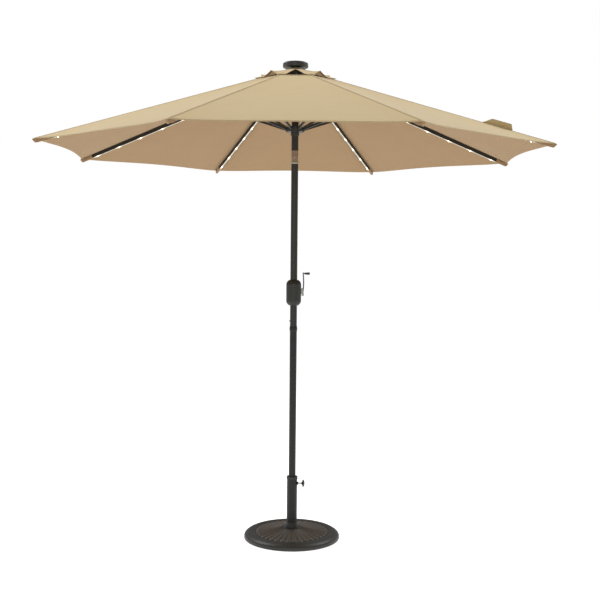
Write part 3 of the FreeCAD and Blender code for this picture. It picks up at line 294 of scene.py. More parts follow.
lines = [maths(tree, "LESS_THAN", maths(tree, "PINGPONG", axes.outputs[axis], CELL / 2), CELL_LINE)
         for axis in ("X", "Y")]
wire(tree, surface, Base_Color=mixed(tree, maths(tree, "MAXIMUM", *lines), colour("#141a2a"),
                                     colour("#9aa3ab")))
print("cells every", CELL * 1000, "mm")

# %% [markdown]
# Each CAD part that keeps its shape now gets its finish. The part's mesh stays as it is, and only the
# material in its slot changes.

# %% Finish the CAD parts
FINISHES = {
    powder_coat: ["mid_pole", "top_pole"],
    powder_coat_painted_shade: ["base_tube", "lower_pole"],
    nylon_black: ["pole_bushes", "knob_head", "shaft_bushes", "crank_spool", "crank_grip", "hub",
                  "pulley", "runner"],
    bright_zinc: ["base_bolt", "knob_screw", "snap_button", "crank_shaft", "tilt_pins", "hub_pins",
                  "housing_screws"],
    tilt_taupe: ["tilt_socket", "tilt_knuckle"],
    cap_shell: ["cap_base", "cap_cover"],
    solar_cell: ["solar_panel"],
    button_grey: ["power_button"],
    rib_coat: [f"{part}_{number}" for part in ("rib", "strut") for number in range(1, 9)],
    milky_sleeve: [f"led_strip_{number}" for number in range(1, 9)],
}
for surface_finish, names in FINISHES.items():
    for name in names:
        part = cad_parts[name]
        part.data.materials.clear()
        part.data.materials.append(surface_finish)
print("finished", sum(len(names) for names in FINISHES.values()), "CAD parts")

# %% [markdown]
# New pieces are made from rows of points: a row of rows is a grid, and neighbouring rows are joined by
# four-sided faces. The points are written in millimetres, as on a drawing. A grid may be closed along a
# row, as a turned part is, and its two ends may be capped. Blender then turns all faces outwards.

# %% Mesh from rows of points


def build(name, points, faces, materials, picks=None, smooth=True, spare=()):
    """A mesh object from points in millimetres. Picks gives each face its material's number."""
    mesh = bpy.data.meshes.new(name)
    mesh.from_pydata([Vector(point) / 1000 for point in points], spare, faces)
    for material in materials:
        mesh.materials.append(material)
    if picks:
        mesh.polygons.foreach_set("material_index", picks)
    mesh.polygons.foreach_set("use_smooth", [smooth] * len(faces))
    mesh.update()
    made = bpy.data.objects.new(name, mesh)
    bpy.context.scene.collection.objects.link(made)
    return made


def outward(piece):
    """Merge doubles and turn every face outwards, then mark the sharp edges."""
    work = bmesh.new()
    work.from_mesh(piece.data)
    bmesh.ops.remove_doubles(work, verts=work.verts, dist=1e-6)
    bmesh.ops.recalc_face_normals(work, faces=work.faces)
    work.to_mesh(piece.data)
    work.free()
    piece.data.set_sharp_from_angle(angle=math.radians(38))
    return piece


def loft(name, rows, material, around=True, caps=True):
    """Join rows of points. Around closes each row, and caps closes the first and the last row."""
    wide = len(rows[0])
    points = [point for row in rows for point in row]
    faces = []
    for i in range(len(rows) - 1):
        for j in range(wide if around else wide - 1):
            k = (j + 1) % wide
            faces.append((i * wide + j, i * wide + k, (i + 1) * wide + k, (i + 1) * wide + j))
    if caps:
        faces += [tuple(range(wide))[::-1], tuple((len(rows) - 1) * wide + j for j in range(wide))]
    return outward(build(name, points, faces, [material]))


def angles(steps):
    """Even angles once round."""
    return [2 * math.pi * step / steps for step in range(steps)]


def bent(value, power):
    """A sine or cosine bent by a power. Below 1 it makes a circle a rounded square."""
    return math.copysign(abs(value) ** power, value)


def spun(name, profile, material, steps=72, turn=None):
    """A ring: turn a closed profile of (radius, height) pairs about Z, then turn it with a matrix."""
    rows = []
    for radius, height in [*profile, profile[0]]:
        row = [Vector((radius * math.cos(a), radius * math.sin(a), height)) for a in angles(steps)]
        rows.append([turn @ point for point in row] if turn else row)
    return loft(name, rows, material, caps=False)


def belongs(piece, body):
    """Let a piece go with a body."""
    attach(piece, body)


print("mesh helpers ready")

# %% [markdown]
# Stitches and lamps are small rounded shapes at an even distance along a line, so one Geometry Nodes
# tree makes them all. It takes a line of edges, walks along it, puts a low sphere of 24 faces at each
# step, stretched to the stitch's length and turned to the line, and ends in real faces with a material.

# %% Geometry Nodes: shapes along a line
beads = bpy.data.node_groups.new("shapes along a line", "GeometryNodeTree")
beads.interface.new_socket("Line", in_out="INPUT", socket_type="NodeSocketGeometry")
for label in ("Spacing", "Length", "Width"):
    beads.interface.new_socket(label, in_out="INPUT", socket_type="NodeSocketFloat")
beads.interface.new_socket("Finish", in_out="INPUT", socket_type="NodeSocketMaterial")
beads.interface.new_socket("Shapes", in_out="OUTPUT", socket_type="NodeSocketGeometry")
given = beads.nodes.new("NodeGroupInput").outputs
line = add(beads, "GeometryNodeMeshToCurve", Mesh=given["Line"])
walk = add(beads, "GeometryNodeResampleCurve", {"mode": "LENGTH"}, Curve=line.outputs["Curve"],
           Length=given["Spacing"])
heading = add(beads, "FunctionNodeAlignRotationToVector", {"axis": "Z"},
              Vector=beads.nodes.new("GeometryNodeInputTangent").outputs["Tangent"])
stretch = add(beads, "ShaderNodeCombineXYZ", X=given["Width"], Y=given["Width"], Z=given["Length"])
shape = add(beads, "GeometryNodeMeshUVSphere", Segments=6, Rings=4, Radius=0.5)
placed = add(beads, "GeometryNodeInstanceOnPoints", Points=walk.outputs["Curve"],
             Instance=shape.outputs["Mesh"], Rotation=heading.outputs["Rotation"],
             Scale=stretch.outputs["Vector"])
real = add(beads, "GeometryNodeRealizeInstances", Geometry=placed.outputs["Instances"])
coated = add(beads, "GeometryNodeSetMaterial", Geometry=real.outputs["Geometry"],
             Material=given["Finish"])
add(beads, "NodeGroupOutput", Shapes=coated.outputs["Geometry"])


def along(name, lines, spacing, length, width, material):
    """Shapes of a length and width in mm along one or more lines of points in mm, as a plain mesh."""
    points, edges = [], []
    for chain in lines:
        edges += [(len(points) + i, len(points) + i + 1) for i in range(len(chain) - 1)]
        points += chain
    made = build(name, points, [], [material], spare=edges)
    change = made.modifiers.new("shapes", "NODES")
    change.node_group = beads
    values = {"Spacing": spacing / 1000, "Length": length / 1000, "Width": width / 1000,
              "Finish": material}
    for item in beads.interface.items_tree:
        if item.in_out == "INPUT" and item.name in values:
            change[item.identifier] = values[item.name]
    bpy.context.view_layer.update()
    seen = made.evaluated_get(bpy.context.evaluated_depsgraph_get())
    plain = bpy.data.meshes.new_from_object(seen)
    made.modifiers.clear()
    made.data = plain
    plain.polygons.foreach_set("use_smooth", [True] * len(plain.polygons))
    return made


print("tree", beads.name, "with", len(beads.nodes), "nodes")

# %% [markdown]
# The canopy's frame gives its geometry. A rib's pin is 42 mm from the axis at a height of 2495 mm, and
# an open rib slopes down by 18 degrees. Every cloth shape is worked out for a rib that points along +X
# and then turned to its own rib, at 22.5 degrees and every 45 degrees after it.

# %% Rib geometry
PIN = Vector((42, 0, 2495))
SLOPE = math.radians(18)
DOWN_RIB = Vector((math.cos(SLOPE), 0, -math.sin(SLOPE)))
OFF_RIB = Vector((math.sin(SLOPE), 0, math.cos(SLOPE)))
HALF = math.radians(22.5)
RIBS = range(1, 9)
HALVES = [(number, hand, side) for number in RIBS for hand, side in ((1, "left"), (-1, "right"))]
RIB_TURNS = [Matrix.Rotation(math.radians(22.5 + 45 * number), 3, "Z") for number in range(8)]


def on_rib(run, lift, side=0):
    """A point by its distance along the rib, its height off the rib's middle and its offset sideways."""
    return PIN + DOWN_RIB * run + OFF_RIB * lift + Vector((0, side, 0))


def turned(points, number):
    """Points of the rib along +X, turned to rib 1 to 8."""
    return [RIB_TURNS[number - 1] @ point for point in points]


def neighbour(point, hand):
    """The same point on the next rib, on the left (+1) or on the right (-1)."""
    return Matrix.Rotation(hand * 2 * HALF, 3, "Z") @ point


print("rib tip at", tuple(round(c) for c in on_rib(1370, 0)))

# %% [markdown]
# A panel of the canopy hangs between two ribs. When the umbrella closes, each half of it goes with its
# own rib, so the sheet is made in sixteen half panels that meet on the rib lines and on the panels'
# middle lines. Across a half panel, u runs from 0 on the rib to 1 on the middle line, and the sag and
# the hollow of the eave are level there, so the sheet goes on smoothly into its other half. The eave
# curves in by 44 mm, and the cloth sags by 12 mm halfway down a panel and by 15 mm at the eave.

# %% Shape of the main canopy
CLOTH_LIFT = 11.5
CLOTH_THICK = 0.8
RUN_START, RUN_END = 136.2, 1374
RUN_LENGTH = RUN_END - RUN_START
EAVE_HOLLOW = 44
TOP_SAG, BELLY_SAG, EAVE_SAG = 3, 9, 12


def panel_axes(hand, line):
    """For a half panel: the way to its middle in its plane, square to the rib, and the way up from it."""
    start, end = line(0), line(1)
    rib_way = (end - start).normalized()
    across = (neighbour(end, hand) - end).normalized()
    sideways = (across - rib_way * across.dot(rib_way)).normalized()
    up = rib_way.cross(sideways) * (-hand)
    return rib_way, sideways, up if up.z > 0 else -up


def to_apex(line, hand):
    """The way up a panel's middle, from the eave to the top."""
    return (line(0) + neighbour(line(0), hand) - line(1) - neighbour(line(1), hand)).normalized()


def main_line(t):
    """The main canopy's rib line, from the vent opening (0) to the eave (1)."""
    return on_rib(RUN_START + RUN_LENGTH * t, CLOTH_LIFT)


def main_point(t, u, hand, off=0):
    """A point of the main canopy's lower face, or off above it."""
    up = panel_axes(hand, main_line)[2]
    edge = main_line(t)
    middle = (edge + neighbour(edge, hand)) / 2
    bow = 1 - (1 - u) ** 2
    hollow = to_apex(main_line, hand) * (EAVE_HOLLOW * bow * t ** 1.6)
    sag = (TOP_SAG + BELLY_SAG * math.sin(math.pi * t)) * bow + EAVE_SAG * t ** 5 * (1 - (1 - u) ** 5)
    return edge.lerp(middle, u) + hollow - up * (sag - off)


print("eave height", [round(main_point(1, u, 1).z) for u in (0, 1)], "at a corner and in the middle")

# %% [markdown]
# The vent cap is a second, small canopy that lets air out. Each of its panels lies on the main canopy
# near the ribs and stands up in a peak in the middle, over a dark triangle. Its shape has the same two
# directions as the main one, so the same code can lay both out.

# %% Shape of the vent cap
VENT_IN, VENT_OUT = 30, 230
VENT_HIGH, VENT_LOW = 2519, 2453
VENT_HOLLOW, VENT_DIP, VENT_PEAK = 40, 5, 21


def vent_line(t):
    """The vent cap's rib line, from under the solar cap (0) to its corner (1)."""
    return Vector((VENT_IN + (VENT_OUT - VENT_IN) * t, 0, VENT_HIGH + (VENT_LOW - VENT_HIGH) * t))


def vent_point(t, u, hand, off=0):
    """A point of the vent cap's lower face, or off above it."""
    up = panel_axes(hand, vent_line)[2]
    edge = vent_line(t)
    middle = (edge + neighbour(edge, hand)) / 2
    bow = 1 - (1 - u) ** 2
    hollow = to_apex(vent_line, hand) * (VENT_HOLLOW * bow * t ** 1.8)
    low = VENT_DIP * math.sin(math.pi * min(1, u / 0.6)) * t ** 3
    peak = VENT_PEAK * max(0, (u - 0.52) / 0.48) ** 1.15 * t ** 2
    return edge.lerp(middle, u) + hollow + up * (peak - low + off)


print("vent corner", tuple(round(c) for c in vent_point(1, 0, 1)))

# %% [markdown]
# One function lays out a half panel as a thin closed sheet: an upper face, a lower face and the cut
# edges. It also writes the UV map in metres and adds up the cloth's flat area. A second function makes
# the hem, a doubled band along the eave. Both go with their rib.

# %% Half panels


def map_cloth(piece, place_of):
    """The weave's UV map, worked out from each point's place."""
    layer = piece.data.uv_layers.new(name="cloth")
    for loop in piece.data.loops:
        layer.data[loop.index].uv = place_of(piece.data.vertices[loop.vertex_index].co)


def paint_shade_below(piece, limit):
    """Give the faces that look down the underside material, painted darker and warmer as shade."""
    piece.data.materials.append(canopy_under_painted_shade)
    picks = [1 if face.normal.z < limit else 0 for face in piece.data.polygons]
    piece.data.polygons.foreach_set("material_index", picks)


def half_panel(name, shape, hand, number, rows, columns):
    """A closed thin sheet over t (rows) and u (columns). Returns the piece and its area in m2."""
    lower, upper = ([[shape(i / rows, j / columns, hand, off) for j in range(columns + 1)]
                     for i in range(rows + 1)] for off in (0, CLOTH_THICK))
    wide = columns + 1
    count = wide * (rows + 1)
    faces, picks, area = [], [], 0
    for i in range(rows):
        for j in range(columns):
            a, b, c, d = i * wide + j, i * wide + j + 1, (i + 1) * wide + j + 1, (i + 1) * wide + j
            faces += [(a, b, c, d), (a + count, d + count, c + count, b + count)]
            picks += [0, 1]
            p, q, r, s = lower[i][j], lower[i][j + 1], lower[i + 1][j + 1], lower[i + 1][j]
            area += ((q - p).cross(r - p).length + (r - p).cross(s - p).length) / 2e6
    ring = [(0, j) for j in range(columns)] + [(i, columns) for i in range(rows)]
    ring += [(rows, j) for j in range(columns, 0, -1)] + [(i, 0) for i in range(rows, 0, -1)]
    for (i, j), (k, m) in zip(ring, ring[1:] + ring[:1]):
        a, b = i * wide + j, k * wide + m
        faces.append((a, a + count, b + count, b))
        picks.append(1)
    points = turned([p for row in lower + upper for p in row], number)
    # The lower face gets the underside material, painted darker and warmer as shade.
    piece = build(name, points, faces, [canopy_under_painted_shade, canopy_cloth], picks)
    start = shape(0, 0, hand)
    rib_way, sideways = panel_axes(hand, main_line if shape is main_point else vent_line)[:2]
    layer = piece.data.uv_layers.new(name="cloth")
    flat = [((p - start).dot(sideways) / 1000, (p - start).dot(rib_way) / 1000)
            for row in lower + upper for p in row]
    for loop in piece.data.loops:
        layer.data[loop.index].uv = flat[loop.vertex_index]
    piece.data.set_sharp_from_angle(angle=math.radians(50))
    return piece, area


def hem_band(name, shape, hand, number, edge_t, depth_t, columns):
    """A tongue round the cut edge at edge_t, folded over to depth_t, from the rib to the middle."""
    rows = []
    for j in range(columns + 1):
        u = j / columns
        inner, outer = shape(depth_t, u, hand), shape(edge_t, u, hand)
        way = (outer - inner).normalized()
        up = (shape(edge_t, u, hand, 1) - outer).normalized()
        rows.append([inner + up * 1.2, outer + up * 1.7 - way * 1.5, outer + way * 0.9 + up * 0.4,
                     outer - up * 0.9 - way * 1.5, inner - up * 0.4])
    piece = loft(name, [turned(row, number) for row in rows], hem_cloth_painted_darker)
    # The hem's downward faces get the underside colour, painted shade.
    paint_shade_below(piece, 0.2)
    map_cloth(piece, lambda place: (place.x + place.y, place.z))
    return piece


def fold_with(piece, number, hand, line):
    """Give a piece its own mesh and let it go with its rib."""
    sideways = panel_axes(hand, line)[1]
    turn = RIB_TURNS[number - 1]
    (turn @ line(0)) / 1000
    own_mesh(piece)
    belongs(piece, f"rib_{number}")


print("panel helpers ready")

# %% [markdown]
# Now the sixteen half panels of the main canopy, each with its hem and its line of stitches. The hem is
# 20 mm deep, and its seam runs 16 mm from the edge. The real stitches are 3 mm long. They are drawn
# 6 mm long, because shorter ones would not show.

# %% Sew the main canopy
HEM_DEPTH, HEM_SEAM = 20, 16
STITCH_STEP, STITCH_LENGTH = 9, 6
HEM_STITCH, RIB_STITCH = 1.3, 1.2


def stitched(name, lines, width):
    """Stitches of a width along lines of points."""
    return along(name, lines, STITCH_STEP, STITCH_LENGTH, width, sewing_thread)


canopy_area = 0
for number, hand, side in HALVES:
    label = f"canopy_{number}_{side}"
    panel, area = half_panel(label, main_point, hand, number, 36, 14)
    canopy_area += area
    hem = hem_band(f"{label}_hem", main_point, hand, number, 1, 1 - HEM_DEPTH / RUN_LENGTH, 14)
    seam = [main_point(1 - HEM_SEAM / RUN_LENGTH, j / 24, hand, 1.6) for j in range(25)]
    stitches = stitched(f"{label}_stitches", [turned(seam, number)], HEM_STITCH)
    for piece in (panel, hem, stitches):
        fold_with(piece, number, hand, main_line)
    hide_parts("canopy")
print("main canopy", round(canopy_area, 3), "m2 of cloth")

# %% [markdown]
# The vent cap is sewn the same way. Its inner edge is clamped under the solar cap.

# %% Sew the vent cap
KEEP_VENT, VENT_HEM_START = 0.36, 0.93
vent_area = 0
for number, hand, side in HALVES:
    label = f"vent_{number}_{side}"
    panel, area = half_panel(label, vent_point, hand, number, 12, 12)
    vent_area += area
    hem = hem_band(f"{label}_hem", vent_point, hand, number, 1, VENT_HEM_START, 12)
    for piece in (panel, hem):
        fold_with(piece, number, hand, vent_line)
    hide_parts("vent_canopy")
print("vent cap", round(vent_area, 3), "m2 of cloth")

# %% [markdown]
# Under the solar cap an eight-sided patch of doubled cloth strengthens the vent cap's middle. It is
# clamped with the cap, so it goes with the head. Its corners lie on the rib lines.

# %% Patch on top of the vent cap
PATCH_OUT, PATCH_IN = 57, 29
vent_fall = (VENT_HIGH - VENT_LOW) / (VENT_OUT - VENT_IN)
outline = [(PATCH_IN, 1.6), (PATCH_IN, 2.4), (PATCH_OUT - 1, 2.4), (PATCH_OUT, 2.0),
           (PATCH_OUT - 1, 1.6)]
patch = spun("vent_patch", [(r, VENT_HIGH - vent_fall * (r - VENT_IN) + rise) for r, rise in outline],
             hem_cloth_painted_darker, 8, Matrix.Rotation(HALF, 3, "Z"))
map_cloth(patch, lambda place: (place.x, place.y))
belongs(patch, "tilt_head")

# %% [markdown]
# The panels are joined along each rib by a flat-felled seam: a doubled tape 13 mm wide with two rows of
# stitches. It lies on the rib and never folds, so it simply goes with the rib. A low roof of seven
# points follows the two panels' slopes, and its ends are capped.

# %% Rib seams
TAPE_HALF, TAPE_STITCH_SIDE, PANEL_FALL = 6.5, 4.5, 0.127


def seam_row(run, half_width, lift):
    """A low roof across the rib line, over the two sloping panels."""
    shape = [(-half_width, -0.5), (-half_width, 0.5), (-half_width * 0.6, 0.9), (0, 1.2),
             (half_width * 0.6, 0.9), (half_width, 0.5), (half_width, -0.5)]
    return [on_rib(run, lift + rise - PANEL_FALL * abs(y), y) for y, rise in shape]


for number in RIBS:
    top = CLOTH_LIFT + CLOTH_THICK
    rows = [turned(seam_row(RUN_START + RUN_LENGTH * i / 30, TAPE_HALF, top), number)
            for i in range(31)]
    tape = loft(f"rib_seam_{number}", rows, hem_cloth_painted_darker)
    map_cloth(tape, lambda place: (place.z, math.hypot(place.x, place.y)))
    lines = [turned([on_rib(run, top + 0.4, y) for run in range(142, 1370, 40)], number)
             for y in (-TAPE_STITCH_SIDE, TAPE_STITCH_SIDE)]
    stitches = stitched(f"rib_seam_stitches_{number}", lines, RIB_STITCH)
    for piece in (tape, stitches):
        belongs(piece, f"rib_{number}")
print("8 seams of", round(RUN_LENGTH), "mm")

# %% [markdown]
# Each rib ends in a sewn pocket, 85 mm long, that holds the canopy taut. It is a soft sleeve a little
# larger than the rib, with a thicker mouth where the edge is turned in and a pointed nose.

# %% Rib pockets


def oval_row(run, half_width, low, high, power=0.55, steps=20):
    """A rounded four-sided ring round the rib."""
    return [on_rib(run, (high + low) / 2 + (high - low) / 2 * bent(math.sin(a), power),
                   half_width * bent(math.cos(a), power)) for a in angles(steps)]


POCKET_STITCH_SIDE = 8.2
# Each ring of a pocket: its place along the rib, half its width, and its lower and upper edge.
POCKET = [(1296, 7.4, -11.0, 10.8), (1299, 8.1, -11.8, 11.2), (1304, 7.4, -11.2, 11.2),
          (1332, 7.8, -11.5, 11.3), (1358, 7.4, -11.1, 11.4), (1370.5, 6.6, -10.4, 11.8),
          (1375, 5.4, -6.5, 12.0), (1379, 3.8, 0.5, 11.6), (1382, 1.8, 5.5, 10.4)]
for number in RIBS:
    pocket = loft(f"rib_pocket_{number}", [turned(oval_row(*ring), number) for ring in POCKET],
                  hem_cloth_painted_darker)
    # The pocket's downward faces get the underside colour, painted shade.
    paint_shade_below(pocket, 0.3)
    map_cloth(pocket, lambda place: (place.z * 2, math.hypot(place.x, place.y)))
    lines = [turned([on_rib(run, 2, y) for run in (1303, 1335, 1366)], number)
             for y in (-POCKET_STITCH_SIDE, POCKET_STITCH_SIDE)]
    stitches = stitched(f"rib_pocket_stitches_{number}", lines, RIB_STITCH)
    for piece in (pocket, stitches):
        belongs(piece, f"rib_{number}")
print("8 pockets")

# %% [markdown]
# A closure strap is sewn to the seam of rib 8. It is a loop of doubled cloth that ties the folded
# canopy, and with the umbrella open it stands up on the seam, 155 mm long. Its section is a soft drop,
# closed at the top, which leans and waves a little, and its outer end is cut on a slant.

# %% Closure strap
STRAP_START, STRAP_LENGTH, STRAP_HEIGHT = 1001, 155, 29
STRAP_FOOT = 13.2


def strap_row(share):
    """A drop-shaped ring across the strap, from its foot on the seam to its folded top."""
    rise = min(1, 0.1 + share / 0.26) * min(1, 0.15 + (1 - share) / 0.1)
    lean = 3.5 * math.sin(5.5 * share + 0.6)
    run = STRAP_START + STRAP_LENGTH * share
    ring = []
    for a in angles(16):
        up = (1 - math.cos(a)) / 2
        belly = 3.2 * math.sin(a) * (0.45 + 0.9 * math.sin(math.pi * up) ** 2)
        ring.append(on_rib(run + 6 * up * (1 - share), STRAP_FOOT + STRAP_HEIGHT * rise * up,
                           belly + lean * up * up))
    return ring


strap = loft("tie_strap", [turned(strap_row(i / 24), 8) for i in range(25)], hem_cloth_painted_darker)
map_cloth(strap, lambda place: (place.x, place.z))
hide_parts("closure_strap")
belongs(strap, "rib_8")
print("strap", STRAP_LENGTH, "by", STRAP_HEIGHT, "mm")

# %% [markdown]
# Eight warm lamps sit in the sleeve under every rib, 150 mm apart. They are the brightest points of the
# object. The tree that makes stitches makes them too, as domes of 10 by 6.5 mm that look out of the
# sleeve.

# %% Lamps under the ribs
LAMP_FIRST, LAMP_LAST, LAMP_PITCH, LAMP_DEPTH = 210, 1260, 150, -11.2
for number in RIBS:
    row = turned([on_rib(run, LAMP_DEPTH) for run in (LAMP_FIRST, LAMP_LAST)], number)
    lamps = along(f"lamps_{number}", [row], LAMP_PITCH, 10, 6.5, warm_lamp)
    belongs(lamps, f"rib_{number}")
print("8 lamps on each of 8 ribs")

# %% [markdown]
# The cast base is a turned shape with a relief, so it is a grid in polar coordinates: 67 rings of 720
# points. Outside is a smooth raised rim. Inside it, 36 rays run up to the collar round the tube. Each ray
# is a rounded ridge that ends in a raised scallop, with a groove on each side. The upright edge has a
# band of fine ribs. The relief is kept in two attributes: the glaze reads one, and the other paints shade
# into the grooves and the valleys of the edge ribs.

# %% Cast base
RAYS, AROUND = 36, 720
RIM_INNER, COLLAR, RIM_FOOT, COLLAR_TOP, RELIEF_STEPS = 202, 46, 32.2, 57, 39
EDGE_RIBS, EDGE_RIB_DEPTH, EDGE_RINGS = 120, 0.8, range(7, 11)
PROFILE = [(16, 18), (16, 0), (60, 0), (160, 0), (248, 0), (254, 0), (257.2, 1.6), (258, 4), (258, 7),
           (258, 10), (258, 13), (257.4, 17), (255.2, 21.5), (251.5, 25.6), (247, 29), (241, 32.6),
           (235, 35.2), (229, 36.6), (223, 36.9), (217, 36.4), (211, 35.2), (206, 33.6), (202, 32.2)]


def ray_relief(radius, turn):
    """How far the casting stands up inside the rim, from 0 in a groove to 1 on a ray."""
    t = ((turn * RAYS) % 1) * 2 - 1
    half_ray = math.pi * radius / RAYS
    end = 196 - half_ray * (1 - math.sqrt(max(0, 1 - t * t)))
    inside = min(1, max(0, (end - radius) / 4 + 0.5))
    ridge = 1 - abs(t) ** 2.2
    fade = min(1, max(0, (radius - COLLAR) / 12))
    bead = 0.45 * math.exp(-((radius - end + 7) / 6) ** 2)
    return inside * ridge * fade * (0.75 + bead)


rings = [[(r, z, 0) for _ in range(AROUND)] for r, z in PROFILE]
for step in range(1, RELIEF_STEPS + 1):
    radius = RIM_INNER - (RIM_INNER - COLLAR) * step / RELIEF_STEPS
    climb = ((RIM_INNER - radius) / (RIM_INNER - COLLAR)) ** 1.15
    ground = RIM_FOOT + (COLLAR_TOP - RIM_FOOT) * climb
    ring = []
    for around in range(AROUND):
        lift = ray_relief(radius, around / AROUND)
        ring.append((radius, ground + 4.6 * lift - 1.2, min(1, lift * 1.2)))
    rings.append(ring)
rings += [[(r, z, 0) for _ in range(AROUND)]
          for r, z in ((40, 57.2), (30, 57.2), (28.3, 56.4), (28.3, 43), (16, 43))]
points, relief, groove = [], [], []
for index, ring in enumerate(rings):
    inside = len(PROFILE) <= index < len(PROFILE) + RELIEF_STEPS
    for angle, (radius, height, lift) in zip(angles(AROUND), ring):
        dent = EDGE_RIB_DEPTH * (0.5 - 0.5 * math.cos(angle * EDGE_RIBS)) if index in EDGE_RINGS else 0
        reach = radius - dent
        points.append(Vector((reach * math.cos(angle), reach * math.sin(angle), height)))
        relief.append(lift)
        # The groove value is painted shade, high between the rays and in the valleys of the edge ribs.
        groove.append(max(0, 0.9 - 2.2 * lift) if inside else 0.55 * dent / EDGE_RIB_DEPTH)
faces = [(i * AROUND + j, i * AROUND + (j + 1) % AROUND, (i + 1) * AROUND + (j + 1) % AROUND,
          (i + 1) * AROUND + j) for i in range(len(rings) - 1) for j in range(AROUND)]
faces += [((len(rings) - 1) * AROUND + j, (len(rings) - 1) * AROUND + (j + 1) % AROUND,
           (j + 1) % AROUND, j) for j in range(AROUND)]
cast_base = build("cast_base", points, faces, [cast_stone])
for label, values in (("relief", relief), ("groove", groove)):
    mark = cast_base.data.attributes.new(label, "FLOAT", "POINT")
    mark.data.foreach_set("value", values)
outward(cast_base)
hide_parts("base_plate")
belongs(cast_base, "base")
print("cast base", len(cast_base.data.polygons), "faces")

# %% [markdown]
# The base tube sits in a black sleeve where it leaves the casting. The sleeve is a short turned ring
# with rounded edges, about one millimetre proud of the tube.

# %% Sleeve at the foot of the tube
foot = spun("tube_foot_sleeve", [(28.05, 57), (30.2, 57), (30.4, 58), (29.4, 62), (29.2, 80),
                                 (28.9, 82), (28.05, 82.6)], nylon_black)
belongs(foot, "base")
print("sleeve", [round(c, 3) for c in foot.dimensions])

# %% [markdown]
# The crank housing is two moulded shells that meet in a fine seam at the sides. Its shoulders are round,
# and on its front and back a raised panel is moulded, with a groove across it near the top. The relief
# is part of the shell's own grid: a row for each height and a point for each angle, pushed outwards
# where the panel is. So its borders are soft, as a mould's are.

# %% Crank housing
HOUSING_LOW, HOUSING_HIGH = 1262, 1400
NECK_RADIUS, SHOULDER_REACH, SHOULDER_HEIGHT, BORE_RADIUS = 22.5, 18, 27, 19.3
PANEL_HALF, PANEL_LOW, PANEL_HIGH, PANEL_GROOVE, PANEL_DEPTH = 27, 1282, 1384, 1362, 1.3
SHELL_HALF = math.radians(89.3)


def soft_step(value, width):
    """From 0 to 1 as the value goes from 0 to the width, with soft ends."""
    share = min(1, max(0, value / width))
    return share * share * (3 - 2 * share)


def housing_radius(height):
    """The housing's outline: a neck, a round shoulder and a straight side."""
    near = max(0, min(height - HOUSING_LOW, HOUSING_HIGH - height))
    fall = max(0, 1 - near / SHOULDER_HEIGHT)
    return NECK_RADIUS + SHOULDER_REACH * (1 - fall ** 2.2) ** 0.75


def panel_relief(across, height):
    """How far the moulded panel stands out, by the way across it in mm and the height."""
    side = soft_step(PANEL_HALF - abs(across), 2.5)
    ends = soft_step(height - PANEL_LOW, 3) * soft_step(PANEL_HIGH - height, 3)
    groove = 1 - soft_step(2.4 - abs(height - PANEL_GROOVE), 1.6)
    return PANEL_DEPTH * side * ends * groove


for side, middle in (("front", 0), ("back", math.pi)):
    rows = []
    for i in range(111):
        height = HOUSING_LOW + (HOUSING_HIGH - HOUSING_LOW) * i / 110
        outer, inner = [], []
        for j in range(65):
            a = SHELL_HALF * (j / 32 - 1)
            radius = housing_radius(height)
            radius += panel_relief(radius * a, height) - 0.6
            for line, reach in ((outer, radius), (inner, BORE_RADIUS)):
                line.append(Vector((reach * math.sin(a + middle), -reach * math.cos(a + middle), height)))
        rows.append(outer + inner[::-1])
    shell = loft(f"crank_housing_{side}", rows, housing_grain)
    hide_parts(f"housing_{side}")
    belongs(shell, "pole")
print("housing radius at its middle", housing_radius(1331))

# %% [markdown]
# The crank arm is a flat steel bar, bowed outwards by 2.6 mm and tapered towards the grip. It is
# lofted from rounded sections along its bow. Its foot sits in a bright folded socket on the shaft,
# which leans a little with the arm. The grip turns on a stud in the arm's other end.

# %% Crank arm
ARM_FOOT, ARM_LENGTH, ARM_BOW, STUD_HEIGHT = 1339, 101, 2.6, 1434


def arm_row(share):
    """A rounded section of the arm, 7 mm thick and 12 to 9 mm wide."""
    height = ARM_FOOT + ARM_LENGTH * share
    middle = 50.4 + ARM_BOW * math.sin(math.pi * min(1, share * 1.06)) ** 1.2
    half = (6 - 1.5 * share) * math.sqrt(max(0.02, 1 - max(0, (share - 0.955) / 0.045) ** 2))
    return [Vector((middle + (3.6 - 0.5 * share) * bent(math.cos(a), 0.5),
                    half * bent(math.sin(a), 0.6), height)) for a in angles(20)]


arm = loft("crank_bowed_arm", [arm_row(i / 32) for i in range(33)], crank_plate)
lift = Vector((0, 0, STUD_HEIGHT))
stud_rows = []
for reach, radius in ((48.6, 4.4), (49, 4.8), (49.4, 4.8), (57, 3), (82.6, 3), (83, 2.4)):
    stud_rows.append([Vector((reach, radius * math.cos(a), radius * math.sin(a))) + lift
                      for a in angles(24)])
stud = loft("crank_stud", stud_rows, bright_zinc)

socket_rows = []
for height, half_x, half_y in ((1313, 3.6, 5.5), (1314, 5.2, 7), (1317, 6, 7.6), (1338, 6, 7.6),
                               (1351, 6, 7.4), (1354, 5.4, 7), (1355, 4.4, 6.2)):
    lean = (1334 - height) * 0.07
    socket_rows.append([Vector((47.6 + lean + half_x * bent(math.cos(a), 0.5),
                                half_y * bent(math.sin(a), 0.5), height)) for a in angles(24)])
socket = loft("crank_socket", socket_rows, satin_steel)
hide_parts("crank_arm")
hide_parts("crank_hub")
for piece in (arm, stud, socket):
    belongs(piece, "crank")
print("arm", 7, "mm thick, socket", [round(c, 3) for c in socket.dimensions])

# %% [markdown]
# The lift cord goes from the crank's spool up inside the pole, through the tilt joint, over the pulley in
# the pole's top, and down outside the pole to the runner. It is braided and always tight. Each of its
# three lengths is a tube with the braid's low waves along a smooth line. Only the last length shows. It
# gets longer when the runner slides.

# %% Lift cord
CORD_RADIUS, BRAID_WAVE, PULLEY_FOOT = 1.25, 0.1, 2489


